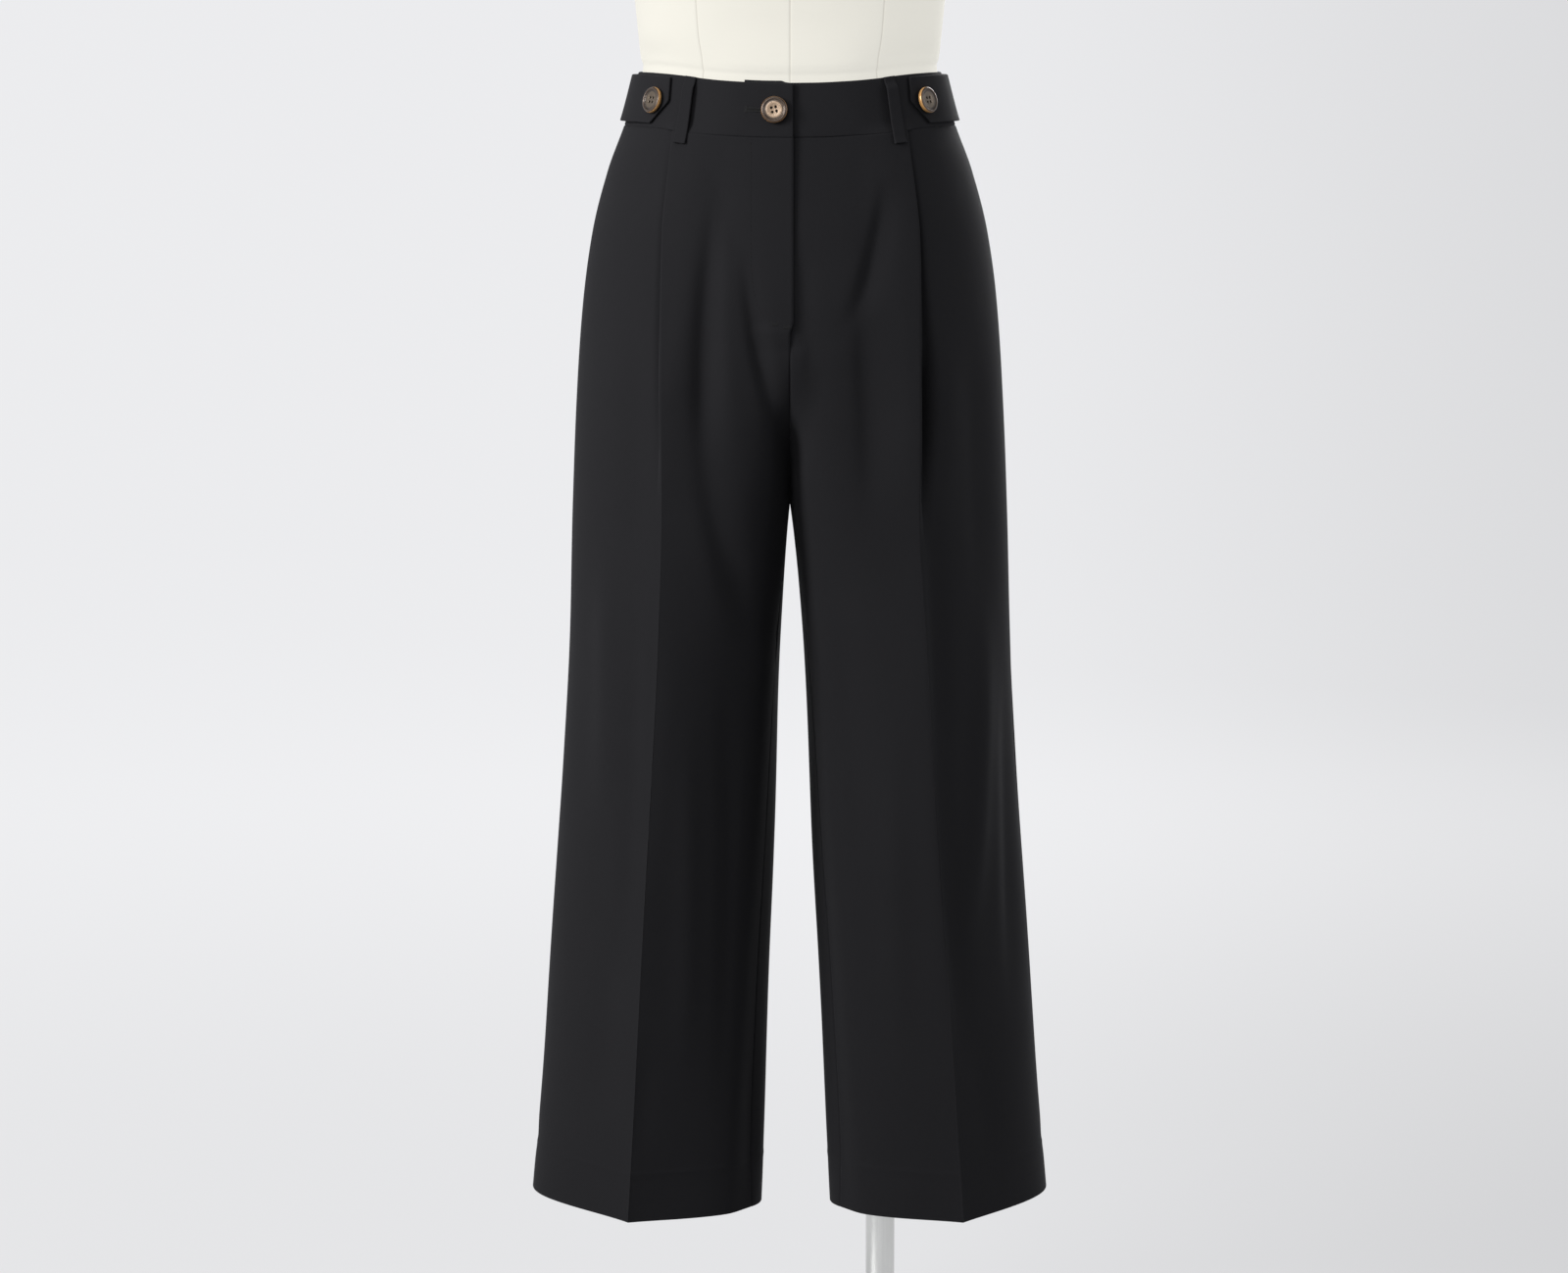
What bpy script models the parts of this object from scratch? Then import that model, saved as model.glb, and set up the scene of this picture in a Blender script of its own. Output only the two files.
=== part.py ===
"""Wide-leg trousers with pressed creases, one pleat in each front, side tabs and a buttoned
waistband, on a limbless dress form whose pole runs down through one leg to a round base.

Lengths in the tables are in millimetres and angles in degrees; the model itself is in metres.
+Z is up and the front of the trousers faces -Y, so the wearer's right is at -X.
A leg is drawn once, with x measured outwards from the middle of the body, and `hand` turns it
to the wearer's right (-1) or left (+1).
"""

import functools
import math

import bmesh
import bpy
import numpy as np
from mathutils import Matrix

MM = 0.001
RIGHT = -1
LEFT = 1

# ---------------------------------------------------------------- driving dimensions, mm
HEM_Z = 159.0
CROTCH_Z = 742.0
CROTCH_Y = -12.0
WAIST_SEAM_Z = 1044.0
WAIST_TOP_Z = 1086.5
HIP_LEVEL_Z = 1000.0     # from here down the levels no longer follow the waist's curve
BAND_MIDDLE_Z = (WAIST_SEAM_Z + WAIST_TOP_Z) / 2
CLOTH = 1.1              # wall of the trouser cloth
HEM_CLOTH = 1.9          # wall where the hem is turned up
HEM_DEPTH = 40.0
HEM_STEP = 5.0           # its upper edge shows as a faint ridge this high
BAND_CLOTH = 2.4         # waistband, two layers and its interfacing
SEAM = 0.4               # gap between neighbouring pieces

FRONT_BEND_Z = 872.0     # where the centre front seam starts to turn under
BACK_BEND_Z = 886.0      # the same on the centre back seam

# How far the waist is above its mean level, by the angle from the middle front: it dips there,
# and is level from the sides to the middle back.
WAIST_CURVE = dict(
    columns=("around", "rise"),
    rows=((0, -4.2), (12, -4.0), (27, -2.9), (42, -0.9), (51, 1.1), (62, 2.7), (75, 3.5),
          (90, 3.7), (180, 4.2)),
)

# Body sections from the waist to the hem: the front and back middle, the two creases, the side.
GIRTH = dict(
    columns=("z", "front_y", "crease_x", "crease_y", "side_x", "side_y",
             "back_crease_x", "back_crease_y", "back_y"),
    rows=(
        (1092, -92.0, 83.0, -68.3, 121.2, 1.0, 78.0, 66.0, 86.0),
        (1044, -100.0, 91.2, -75.7, 134.4, 2.0, 85.0, 71.0, 94.0),
        (1010, -105.0, 95.0, -83.3, 148.3, 3.0, 88.0, 80.0, 103.0),
        (960, -111.0, 99.3, -92.0, 161.4, 4.0, 91.0, 91.0, 113.0),
        (900, -116.0, 100.2, -100.0, 169.6, 5.0, 95.0, 102.0, 119.0),
        (830, -116.0, 101.0, -105.5, 174.6, 6.5, 97.0, 107.0, 119.0),
        (742, -116.0, 102.5, -109.0, 178.6, 8.0, 98.0, 106.0, 119.0),
        (636, -116.0, 107.5, -110.0, 181.8, 9.0, 102.0, 100.0, 119.0),
        (521, -116.0, 114.6, -110.0, 188.3, 11.0, 108.0, 91.0, 119.0),
        (388, -116.0, 122.8, -109.0, 198.3, 13.0, 115.0, 81.0, 119.0),
        (255, -116.0, 131.0, -107.0, 207.6, 14.0, 121.0, 73.0, 119.0),
        (159, -116.0, 137.0, -105.0, 216.3, 15.0, 126.0, 67.0, 119.0),
    ),
)

# How the cloth runs through those points: the angles at which it enters and leaves each crease
# (positive turns away from the front, or from the back on the back panel).
DRAPE = dict(
    columns=("z", "crease_in", "crease_out", "back_in", "back_out"),
    rows=(
        (1092, 31.0, 33.0, 31.0, 33.0),
        (1044, 30.0, 32.0, 30.0, 32.0),
        (960, 20.0, 30.0, 20.0, 30.0),
        (900, 12.0, 29.0, 11.0, 30.0),
        (872, 8.0, 30.0, 7.0, 32.0),
        (845, 4.0, 32.0, 4.0, 34.0),
        (800, 0.0, 35.0, -2.0, 37.0),
        (742, -5.0, 39.0, -8.0, 40.0),
        (636, -9.0, 43.0, -12.0, 43.0),
        (521, -12.0, 47.0, -14.0, 45.0),
        (388, -15.0, 50.0, -16.0, 46.0),
        (159, -18.0, 52.0, -18.0, 47.0),
    ),
)

# The cloth between the middle and each crease: the angle at which it leaves the middle seam or
# inseam, and a point on the way with the angle there. Angles here turn towards the panel's own
# side, the front or the back.
SHOULDER = dict(
    columns=("z", "front_lead", "front_x", "front_y", "front_turn",
             "back_lead", "back_x", "back_y", "back_turn"),
    rows=(
        (1092, 0, 40, -88.0, -13, 0, 38, 82.5, -12),
        (1044, 0, 44, -95.8, -12, 0, 42, 90.0, -11),
        (960, 0, 42, -109.0, -7, 0, 44, 109.5, -8),
        (900, 0, 36, -115.0, -3, 3, 40, 117.0, -3),
        (872, 4, 32, -115.5, 1, 10, 36, 117.5, 2),
        (845, 22, 27, -113.5, 10, 30, 30, 114.5, 12),
        (820, 42, 23, -109.8, 20, 48, 26, 110.0, 22),
        (800, 56, 21, -105.5, 28, 60, 24, 104.5, 30),
        (769, 74, 19, -98.0, 38, 78, 22, 95.0, 40),
        (742, 84, 20, -91.5, 45, 88, 22, 87.0, 46),
        (710, 87, 23, -85.0, 48, 90, 24, 79.5, 48),
        (672, 86, 27, -80.0, 47, 90, 28, 73.0, 47),
        (591, 80, 36, -76.0, 41, 90, 34, 66.0, 42),
        (460, 72, 46, -79.0, 36, 90, 42, 58.0, 36),
        (328, 64, 52, -80.0, 33, 90, 50, 48.0, 30),
        (195, 54, 56, -79.5, 32, 90, 56, 38.0, 26),
        (159, 50, 57, -79.0, 32, 90, 58, 35.0, 25),
    ),
)

# The inside of the leg: its innermost line, the inseam just in front of it, and how far the
# legs hang towards the wearer's left.
INSIDE = dict(
    columns=("z", "inner_x", "inner_y", "inseam_x", "inseam_y", "sway"),
    rows=(
        (742, 0.0, -2.0, 0.0, -12.0, 0.0),
        (720, 2.2, 8.0, 2.6, -14.0, 0.4),
        (672, 6.2, 13.0, 7.7, -18.0, 1.2),
        (591, 11.0, 9.0, 15.0, -25.0, 2.0),
        (460, 15.3, -4.0, 23.3, -36.0, 2.8),
        (328, 21.7, -15.0, 31.7, -45.0, 3.7),
        (195, 26.8, -28.0, 36.8, -53.0, 4.6),
        (159, 28.4, -33.0, 36.4, -55.0, 4.8),
    ),
)

# The pleat: cloth turns through `turn`, runs for `run`, and turns back. At 180 degrees it is
# folded flat under the front, and further down it opens into the crease.
ARC_PULL = 0.95          # how strongly a curve holds its end headings
PLEAT_RADIUS = 0.75
PLEAT_SLOPE = 34.0       # how far before the fold the front starts to rise over it
PLEAT = dict(
    columns=("z", "turn", "run"),
    rows=(
        (1092, 180.0, 11.0),
        (940, 180.0, 10.0),
        (890, 172.0, 7.5),
        (850, 135.0, 4.5),
        (815, 80.0, 3.5),
        (780, 30.0, 4.5),
        (745, 0.0, 6.0),
        (159, 0.0, 6.0),
    ),
)

# The largest soft folds, straight in the view from the front or back. Depth is outwards.
FRONT_FOLDS = dict(
    columns=("x0", "z0", "x1", "z1", "half_width", "depth"),
    rows=(
        (-72, 985, -83, 800, 11, -2.6),
        (-82, 800, -30, 600, 15, -3.2),
        (-56, 960, -54, 800, 12, 1.6),
        (-40, 930, -12, 790, 10, -1.8),
        (-156, 740, -166, 470, 17, 2.2),
        (70, 990, 48, 900, 9, -2.8),
        (48, 930, 60, 740, 12, -2.0),
        (112, 740, 124, 500, 9, -2.4),
        (124, 890, 120, 700, 10, 1.6),
        (156, 640, 148, 380, 16, 2.4),
    ),
)
BACK_FOLDS = dict(
    columns=("x0", "z0", "x1", "z1", "half_width", "depth"),
    rows=(
        (-40, 800, -88, 560, 15, -3.0),
        (30, 790, 76, 590, 14, -2.6),
        (-150, 700, -166, 420, 16, 2.2),
        (148, 760, 160, 500, 16, 2.0),
        (62, 900, 40, 810, 12, -1.8),
    ),
)

# The fly: the wearer's right front laps over the left.
FLY_END_Z = 886.0
FLY_STEP = 8.0           # the lap steps out over the other front within this height
FLY_RISE = 14.0          # below it the front rises to the lap, above it the other goes under
FLY_LAP = 2.4            # how far the lap passes the middle
FLY_UNDER = 10.0         # how far the other front passes under it
FLY_LIFT_TOP = 4.2
FLY_LIFT_END = 2.3
LAP_LIFT = dict(         # the share of the lift that is left away from the edge
    columns=("from_middle", "share"),
    rows=((0, 1.0), (40, 0.74), (84, 0.0)),
)
LAP_NARROWING = 0.9      # how much faster it fades down the fly than at the waistband
BAND_UNDER = 38.0        # the waistband's extension under the button
BAND_UNDER_RISE = 1.6    # it shows above the top of the lap

BELT_LOOP = dict(width=10.0, below=9.0, above=0.5, thick=1.6, stand_off=2.6, pad=5.0, bend=3.0)
FRONT_LOOP_TOP_X = 78.2  # the front loops lean with the band, further out at their foot
FRONT_LOOP_LOW_X = 84.0
TAB = dict(tip=102.0, tail=230.0, low=3.3, high=40.6, thick=2.0, upper_cut=3.0, lower_cut=16.0)
TAB_STAND_OFF = dict(
    columns=("along", "gap"),
    rows=((90, 0.9), (120, 0.9), (158, 3.0), (190, 2.6), (230, 0.35)),
)
BUTTON = dict(radius=10.5, height=4.3, hole_radius=1.0, hole_pitch=3.4)
FRONT_BUTTON_G = 12.2    # along the band from the middle front
TAB_BUTTON_G = 117.0
BUTTON_GAP = 0.7

# The form above the waistband, and its rounded end inside the trousers.
FORM_ABOVE = dict(
    columns=("z", "half_width", "front", "back"),
    rows=(
        (1118, 122.5, 91.5, 86.0),
        (1148, 125.5, 95.0, 90.0),
        (1200, 133.0, 106.0, 98.0),
        (1250, 141.0, 119.0, 104.0),
        (1290, 147.0, 123.0, 108.0),
        (1335, 152.0, 112.0, 110.0),
        (1375, 161.0, 92.0, 106.0),
        (1405, 164.0, 76.0, 97.0),
        (1430, 150.0, 66.0, 86.0),
        (1450, 118.0, 58.0, 75.0),
        (1468, 82.0, 53.0, 66.0),
        (1488, 63.0, 50.0, 60.0),
        (1520, 57.0, 50.0, 56.0),
        (1552, 57.0, 51.0, 56.0),
    ),
)
FORM_BELOW = dict(
    columns=("z", "half_width", "front", "back"),
    rows=(
        (800, 132.0, 62.0, 54.0),
        (805, 142.0, 70.0, 61.0),
        (820, 155.0, 82.0, 77.0),
        (845, 163.0, 96.0, 95.0),
    ),
)
FORM_INSET = dict(
    columns=("z", "inset"),
    rows=((1092, 2.85), (1044, 2.85), (1030, 3.6), (960, 5.0), (880, 6.5)),
)
FORM_ROUNDNESS = 2.25
WAIST_STEPS = 18         # even steps from the middle front to the middle back
FORM_SIDES = 2 * WAIST_STEPS
NECK_CAP_HEIGHT = 9.0

POLE_X = 76.0
POLE_RADIUS = 12.0
COLLAR_RADIUS = 22.0
COLLAR_HEIGHT = 38.0
BASE_RADIUS = 222.0
BASE_HEIGHT = 6.0
JOINT_GAP = 0.3


# ---------------------------------------------------------------- reading the tables
def read(table, name, at):
    """The value of a named column at `at`, on a smooth curve that never overshoots its rows."""
    first = table["columns"][0]
    rows = sorted(dict(zip(table["columns"], row))[first] for row in table["rows"])
    values = {dict(zip(table["columns"], row))[first]: dict(zip(table["columns"], row))[name]
              for row in table["rows"]}
    if at <= rows[0]:
        return values[rows[0]]
    if at >= rows[-1]:
        return values[rows[-1]]
    upper = next(index for index, row in enumerate(rows) if row > at)
    steps = [b - a for a, b in zip(rows, rows[1:])]
    slopes = [(values[b] - values[a]) / (b - a) for a, b in zip(rows, rows[1:])]

    def tangent(index):
        if index == 0:
            return slopes[0]
        if index == len(rows) - 1:
            return slopes[-1]
        before, after = slopes[index - 1], slopes[index]
        if before * after <= 0:
            return 0.0
        wide = 2 * steps[index] + steps[index - 1]
        narrow = steps[index] + 2 * steps[index - 1]
        return (wide + narrow) / (wide / before + narrow / after)

    low = upper - 1
    t = (at - rows[low]) / steps[low]
    return hermite(values[rows[low]], tangent(low) * steps[low],
                   values[rows[upper]], tangent(upper) * steps[low], t)


def hermite(p0, m0, p1, m1, t):
    return ((2 * t**3 - 3 * t**2 + 1) * p0 + (t**3 - 2 * t**2 + t) * m0
            + (3 * t**2 - 2 * t**3) * p1 + (t**3 - t**2) * m1)


def ease(t):
    t = min(max(t, 0.0), 1.0)
    return t * t * (3 - 2 * t)


def rows_of(table):
    return [dict(zip(table["columns"], row)) for row in table["rows"]]


# ---------------------------------------------------------------- the shape of the trousers
class Path:
    """A horizontal line through points, read by its length from the start."""

    def __init__(self, points):
        self.points = np.array(points)
        steps = np.linalg.norm(np.diff(self.points, axis=0), axis=1)
        self.lengths = np.concatenate([[0.0], np.cumsum(steps)])
        self.length = self.lengths[-1]

    def at(self, s):
        return np.array([np.interp(s, self.lengths, self.points[:, axis]) for axis in (0, 1)])

    def normal(self, s, reach=1.2):
        """Pointing to the right of the way the path runs."""
        ahead = self.at(min(s + reach, self.length)) - self.at(max(s - reach, 0.0))
        ahead /= np.linalg.norm(ahead)
        return np.array([ahead[1], -ahead[0]])


def heading(angle, way):
    """A unit step outwards that turns by `angle` towards the back (way 1) or front (way -1)."""
    return np.array([math.cos(math.radians(angle)), way * math.sin(math.radians(angle))])


def arc(start, start_heading, end, end_heading, steps=16):
    """Points on a smooth curve between two places and headings."""
    pull = ARC_PULL * np.linalg.norm(np.array(end) - np.array(start))
    return [hermite(np.array(start), start_heading * pull, np.array(end), end_heading * pull, t)
            for t in np.linspace(0, 1, steps + 1)]


def seam_turn(z, table_y, bend_z):
    """The centre seam's depth: straight down to bend_z, then a sine curve to the crotch."""
    if z >= bend_z:
        return table_y
    share = (z - CROTCH_Z) / (bend_z - CROTCH_Z)
    return CROTCH_Y + (table_y - CROTCH_Y) * math.sin(math.pi / 2 * share)


def leg_sway(z, hand):
    return read(INSIDE, "sway", z) * hand if z < CROTCH_Z else 0.0


def front_paths(z, hand):
    """The front from the middle (or inseam) to its crease, and from there to the side seam."""
    sway = leg_sway(z, hand)
    crease = (read(GIRTH, "crease_x", z) + sway, read(GIRTH, "crease_y", z))
    side = (read(GIRTH, "side_x", z), read(GIRTH, "side_y", z))
    shoulder = (read(SHOULDER, "front_x", z) + sway, read(SHOULDER, "front_y", z))
    if z > CROTCH_Z:
        start = (0.0, seam_turn(z, read(GIRTH, "front_y", z), FRONT_BEND_Z))
    else:
        start = (read(INSIDE, "inseam_x", z) + sway, read(INSIDE, "inseam_y", z))
    turn = heading(read(SHOULDER, "front_turn", z), -1)
    inner = arc(start, heading(read(SHOULDER, "front_lead", z), -1), shoulder, turn)[:-1]
    inner += arc(shoulder, turn, crease, heading(read(DRAPE, "crease_in", z), 1))
    outer = arc(crease, heading(read(DRAPE, "crease_out", z), 1), side, np.array([0.0, 1.0]))
    return Path(inner), Path(outer)


def back_paths(z, hand):
    """The back from the middle (or inseam) to its crease, and from there to the side seam."""
    sway = leg_sway(z, hand)
    crease = (read(GIRTH, "back_crease_x", z) + sway, read(GIRTH, "back_crease_y", z))
    side = (read(GIRTH, "side_x", z), read(GIRTH, "side_y", z))
    shoulder = (read(SHOULDER, "back_x", z) + sway, read(SHOULDER, "back_y", z))
    lead = heading(read(SHOULDER, "back_lead", z), 1)
    turn = heading(read(SHOULDER, "back_turn", z), 1)
    points = []
    if z > CROTCH_Z:
        start = (0.0, seam_turn(z, read(GIRTH, "back_y", z), BACK_BEND_Z))
    else:
        inseam = (read(INSIDE, "inseam_x", z) + sway, read(INSIDE, "inseam_y", z))
        start = (read(INSIDE, "inner_x", z) + sway, read(INSIDE, "inner_y", z))
        points = arc(inseam, -heading(read(SHOULDER, "front_lead", z), -1), start, lead)[:-1]
    inner = points + arc(start, lead, shoulder, turn)[:-1]
    inner += arc(shoulder, turn, crease, heading(read(DRAPE, "back_in", z), -1))
    outer = arc(crease, heading(read(DRAPE, "back_out", z), -1), side, np.array([0.0, -1.0]))
    return Path(inner), Path(outer)


@functools.cache
def half_girth(z):
    """The waist line from the middle front round the side to the middle back."""
    inner, outer = front_paths(z, LEFT)
    back_inner, back_outer = back_paths(z, LEFT)
    return Path(np.vstack([inner.points, outer.points[1:],
                           back_outer.points[-2::-1], back_inner.points[-2::-1]]))


def fold_relief(folds, x, z):
    """How far the soft folds push the cloth out at this place."""
    total = 0.0
    for fold in rows_of(folds):
        along = (fold["z0"] - z) / (fold["z0"] - fold["z1"])
        if not 0 < along < 1:
            continue
        middle = fold["x0"] + (fold["x1"] - fold["x0"]) * along
        across = (x - middle) / fold["half_width"]
        total += fold["depth"] * math.exp(-across * across) * math.sin(math.pi * along) ** 2
    return total


def pleat_section(z):
    """The pleat as (along, out) points from the fold's start, with the cloth's rise."""
    turn = math.radians(read(PLEAT, "turn", z))
    run = read(PLEAT, "run", z)
    arc_steps = (1 / 3, 2 / 3, 1)
    points = [(0.0, 0.0)]
    for share in arc_steps:
        points.append((PLEAT_RADIUS * math.sin(turn * share),
                       -PLEAT_RADIUS * (1 - math.cos(turn * share))))
    for share in (1 / 2, 1):
        corner = points[3]
        points.append((corner[0] + run * share * math.cos(turn),
                       corner[1] - run * share * math.sin(turn)))
    corner = points[-1]
    centre = (corner[0] + PLEAT_RADIUS * math.sin(turn), corner[1] + PLEAT_RADIUS * math.cos(turn))
    for share in arc_steps:
        angle = turn * (1 - share)
        points.append((centre[0] - PLEAT_RADIUS * math.sin(angle),
                       centre[1] - PLEAT_RADIUS * math.cos(angle)))
    if turn == 0:
        points = [(run * step / 8, 0.0) for step in range(9)]
    rise = -points[-1][1]
    return [(along, out + rise) for along, out in points], rise


def ramp(z, start, height):
    """0 below start, 1 above start + height."""
    return min(max((z - start) / height, 0.0), 1.0)


def lap_lift(x, z):
    """How far the wearer's right front and its waistband rise over the left."""
    up = ramp(z, FLY_END_Z, WAIST_SEAM_Z - FLY_END_Z)
    lift = FLY_LIFT_END + (FLY_LIFT_TOP - FLY_LIFT_END) * up
    narrowing = 1 + LAP_NARROWING * (1 - ramp(z, 960, WAIST_SEAM_Z - 960))
    return lift * ramp(z, FLY_END_Z - FLY_RISE, FLY_RISE) * read(LAP_LIFT, "share", x * narrowing)


def fly_shift(z, hand):
    """How far the front's edge passes the middle along the fly."""
    if hand == RIGHT:
        return (FLY_LAP + SEAM / 2) * ramp(z, FLY_END_Z, FLY_STEP)
    return FLY_UNDER * ramp(z, FLY_END_Z + FLY_STEP, FLY_RISE)


FRONT_COLUMNS = 10
FRONT_OUTER_COLUMNS = 8
FLY_FADE = 50.0          # the columns near the fly share its shift over this width
FOLD_FADE = 60.0         # folds fade out above the hem over this height


def front_line(z, hand):
    """One row of the front panel's middle line, from its inner edge to the side seam, and the
    ways its two ends face."""
    inner, outer = front_paths(z, hand)
    whole = Path(np.vstack([inner.points, outer.points[1:]]))
    section, rise = pleat_section(z)
    covered = -min(section[-1][0], 0.0)
    top_end = inner.length - covered - PLEAT_RADIUS - 3.0
    stations = [(s, rise * ease(1 - (top_end - s) / PLEAT_SLOPE))
                for s in np.linspace(SEAM / 2, top_end, FRONT_COLUMNS)]
    stations.append(((top_end + inner.length) / 2, rise))
    stations += [(inner.length + along, out) for along, out in section]
    outer_start, side = inner.length + section[-1][0], whole.length - SEAM / 2
    stations += [(s, 0.0) for s in np.linspace(outer_start, side, FRONT_OUTER_COLUMNS + 1)[1:]]
    line = []
    for s, out in stations:
        x, y = whole.at(s)
        out += fold_relief(FRONT_FOLDS, hand * x, z) * ease((z - HEM_Z) / FOLD_FADE)
        if hand == RIGHT:
            out += lap_lift(x, z)
        line.append((x, y) + whole.normal(s) * (out - cloth_at(z) / 2))
    line = np.array(line)
    line[:, 0] += SEAM / 2 - fly_shift(z, hand) * np.clip(1 - line[:, 0] / FLY_FADE, 0, 1)
    return line, (whole.normal(0), whole.normal(whole.length))


BACK_COLUMNS = 9
BACK_OUTER_COLUMNS = 7


def back_line(z, hand):
    """One row of the back panel's middle line, from its inner edge to the side seam."""
    inner, outer = back_paths(z, hand)
    whole = Path(np.vstack([inner.points, outer.points[1:]]))
    side = whole.length - SEAM / 2
    stations = [*np.linspace(SEAM / 2, inner.length, BACK_COLUMNS),
                *np.linspace(inner.length, side, BACK_OUTER_COLUMNS + 1)[1:]]
    line = []
    for s in stations:
        x, y = whole.at(s)
        out = fold_relief(BACK_FOLDS, hand * x, z) * ease((z - HEM_Z) / FOLD_FADE)
        line.append((x, y) - whole.normal(s) * (out - cloth_at(z) / 2))
    line = np.array(line)
    line[:, 0] += SEAM / 2
    return line, (whole.normal(0), whole.normal(whole.length))


def cloth_at(z):
    """The hem is doubled by its turn-up."""
    return HEM_CLOTH + (CLOTH - HEM_CLOTH) * ramp(z, HEM_Z + HEM_DEPTH, HEM_STEP)


def offset_line(line, ends, distance):
    """The line moved sideways, to the right of the way it runs, with mitred corners."""
    steps = np.diff(line, axis=0)
    steps /= np.linalg.norm(steps, axis=1)[:, None]
    sides = np.column_stack([steps[:, 1], -steps[:, 0]])
    before = np.vstack([sides[:1], sides])
    after = np.vstack([sides, sides[-1:]])
    middle = before + after
    middle /= np.linalg.norm(middle, axis=1)[:, None]
    stretch = 1 / np.clip((middle * after).sum(axis=1), 0.72, 1.0)
    middle[0], middle[-1] = ends
    stretch[0] = stretch[-1] = 1.0
    return line + middle * (distance * stretch)[:, None]


# ---------------------------------------------------------------- making solids
def material(name, colour, roughness, metallic=0.0):
    made = bpy.data.materials.get(name) or bpy.data.materials.new(name)
    made.use_nodes = True
    shader = made.node_tree.nodes["Principled BSDF"]
    shader.inputs["Base Color"].default_value = (*colour, 1.0)
    shader.inputs["Roughness"].default_value = roughness
    shader.inputs["Metallic"].default_value = metallic
    return made


def add_object(name, mesh_points, faces, finish, smooth_angle=50.0):
    """A closed body from points in mm, with its faces turned outwards."""
    mesh = bpy.data.meshes.new(name)
    mesh.from_pydata([tuple(np.array(point) * MM) for point in mesh_points], [], faces)
    work = bmesh.new()
    work.from_mesh(mesh)
    bmesh.ops.recalc_face_normals(work, faces=work.faces)
    work.to_mesh(mesh)
    work.free()
    mesh.shade_smooth()
    mesh.set_sharp_from_angle(angle=math.radians(smooth_angle))
    mesh.materials.append(finish)
    made = bpy.data.objects.new(name, mesh)
    bpy.context.scene.collection.objects.link(made)
    return made


def wall_between(name, outer, inner, finish):
    """A closed wall from two grids of points, rows of equal length."""
    rows, columns = len(outer), len(outer[0])
    points = [point for row in outer for point in row] + [point for row in inner for point in row]

    def index(side, row, column):
        return (side * rows + row) * columns + column

    faces = []
    for row in range(rows - 1):
        for column in range(columns - 1):
            for side in (0, 1):
                quad = [index(side, row, column), index(side, row, column + 1),
                        index(side, row + 1, column + 1), index(side, row + 1, column)]
                faces.append(quad if side == 0 else quad[::-1])
        for column in (0, columns - 1):
            faces.append([index(0, row, column), index(0, row + 1, column),
                          index(1, row + 1, column), index(1, row, column)])
    for column in range(columns - 1):
        for row in (0, rows - 1):
            faces.append([index(0, row, column), index(0, row, column + 1),
                          index(1, row, column + 1), index(1, row, column)])
    return add_object(name, points, faces, finish)


def stack_of_rings(name, rings, finish, smooth_angle=50.0):
    """A solid through closed rings of points, with flat ends."""
    count = len(rings[0])
    points = [point for ring in rings for point in ring]
    faces = []
    for level in range(len(rings) - 1):
        for side in range(count):
            after = (side + 1) % count
            faces.append([level * count + side, level * count + after,
                          (level + 1) * count + after, (level + 1) * count + side])
    faces.append(list(range(count)))
    faces.append([(len(rings) - 1) * count + side for side in range(count)])
    return add_object(name, points, faces, finish, smooth_angle)


def turned(name, profile, centre, sides, finish):
    """A round solid about a vertical axis, from (radius, z) pairs."""
    rings = [[(centre[0] + radius * math.cos(2 * math.pi * side / sides),
               centre[1] + radius * math.sin(2 * math.pi * side / sides), z)
              for side in range(sides)] for radius, z in profile]
    return stack_of_rings(name, rings, finish, 35.0)


# ---------------------------------------------------------------- panels
LEG_LEVELS = (HEM_Z, HEM_Z + HEM_DEPTH, HEM_Z + HEM_DEPTH + HEM_STEP, 290, 388, 480, 570, 650, 710)
SEAT_LEVELS = (CROTCH_Z, 744.5, 753, 769, 792, 820, 848, 872, FLY_END_Z, FLY_END_Z + FLY_STEP,
               FLY_END_Z + FLY_STEP + FLY_RISE, 940, 975, 1012)


def height_at(x, y, level):
    """The real height of a level here: at the waist it follows the waist's curve, and at the
    hips it is flat."""
    rise = read(WAIST_CURVE, "rise", math.degrees(math.atan2(abs(x), -y)))
    return level + rise * ease((level - HIP_LEVEL_Z) / (WAIST_SEAM_Z - HIP_LEVEL_Z))


def panel(name, line_at, hand, outward, finish):
    """A front or back panel from the hem to the waist seam. Its line runs from the middle to
    the side, so `outward` is 1 on the front, whose outer face is on the right of it."""
    outer, inner = [], []
    for level in (*LEG_LEVELS, *SEAT_LEVELS, WAIST_SEAM_Z - SEAM / 2):
        line, ends = line_at(level, hand)
        heights = [height_at(x, y, level) for x, y in line]
        for grid, side in ((outer, 1), (inner, -1)):
            moved = offset_line(line, ends, side * outward * cloth_at(level) / 2)
            grid.append([(hand * x, y, height) for (x, y), height in zip(moved, heights)])
    return wall_between(name, outer, inner, finish)


def make_panels(cloth):
    for hand, side_name in ((RIGHT, "right"), (LEFT, "left")):
        panel(f"front_{side_name}", front_line, hand, 1, cloth)
        panel(f"back_{side_name}", back_line, hand, -1, cloth)


# ---------------------------------------------------------------- waistband
def band_point(hand, share, level, out):
    """A point `out` beyond the band's outer face. Share is 0 at the middle front and 1 at the
    middle back; below 0 or over 1 it passes to the other hand."""
    girth = half_girth(level)
    crossed = share < 0 or share > 1
    inside = abs(share) if share < 0 else (2 - share if share > 1 else share)
    s = inside * girth.length
    x, y = girth.at(s) + girth.normal(s) * out
    height = height_at(x, y, level)
    return np.array([-hand * x if crossed else hand * x, y, height])


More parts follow.
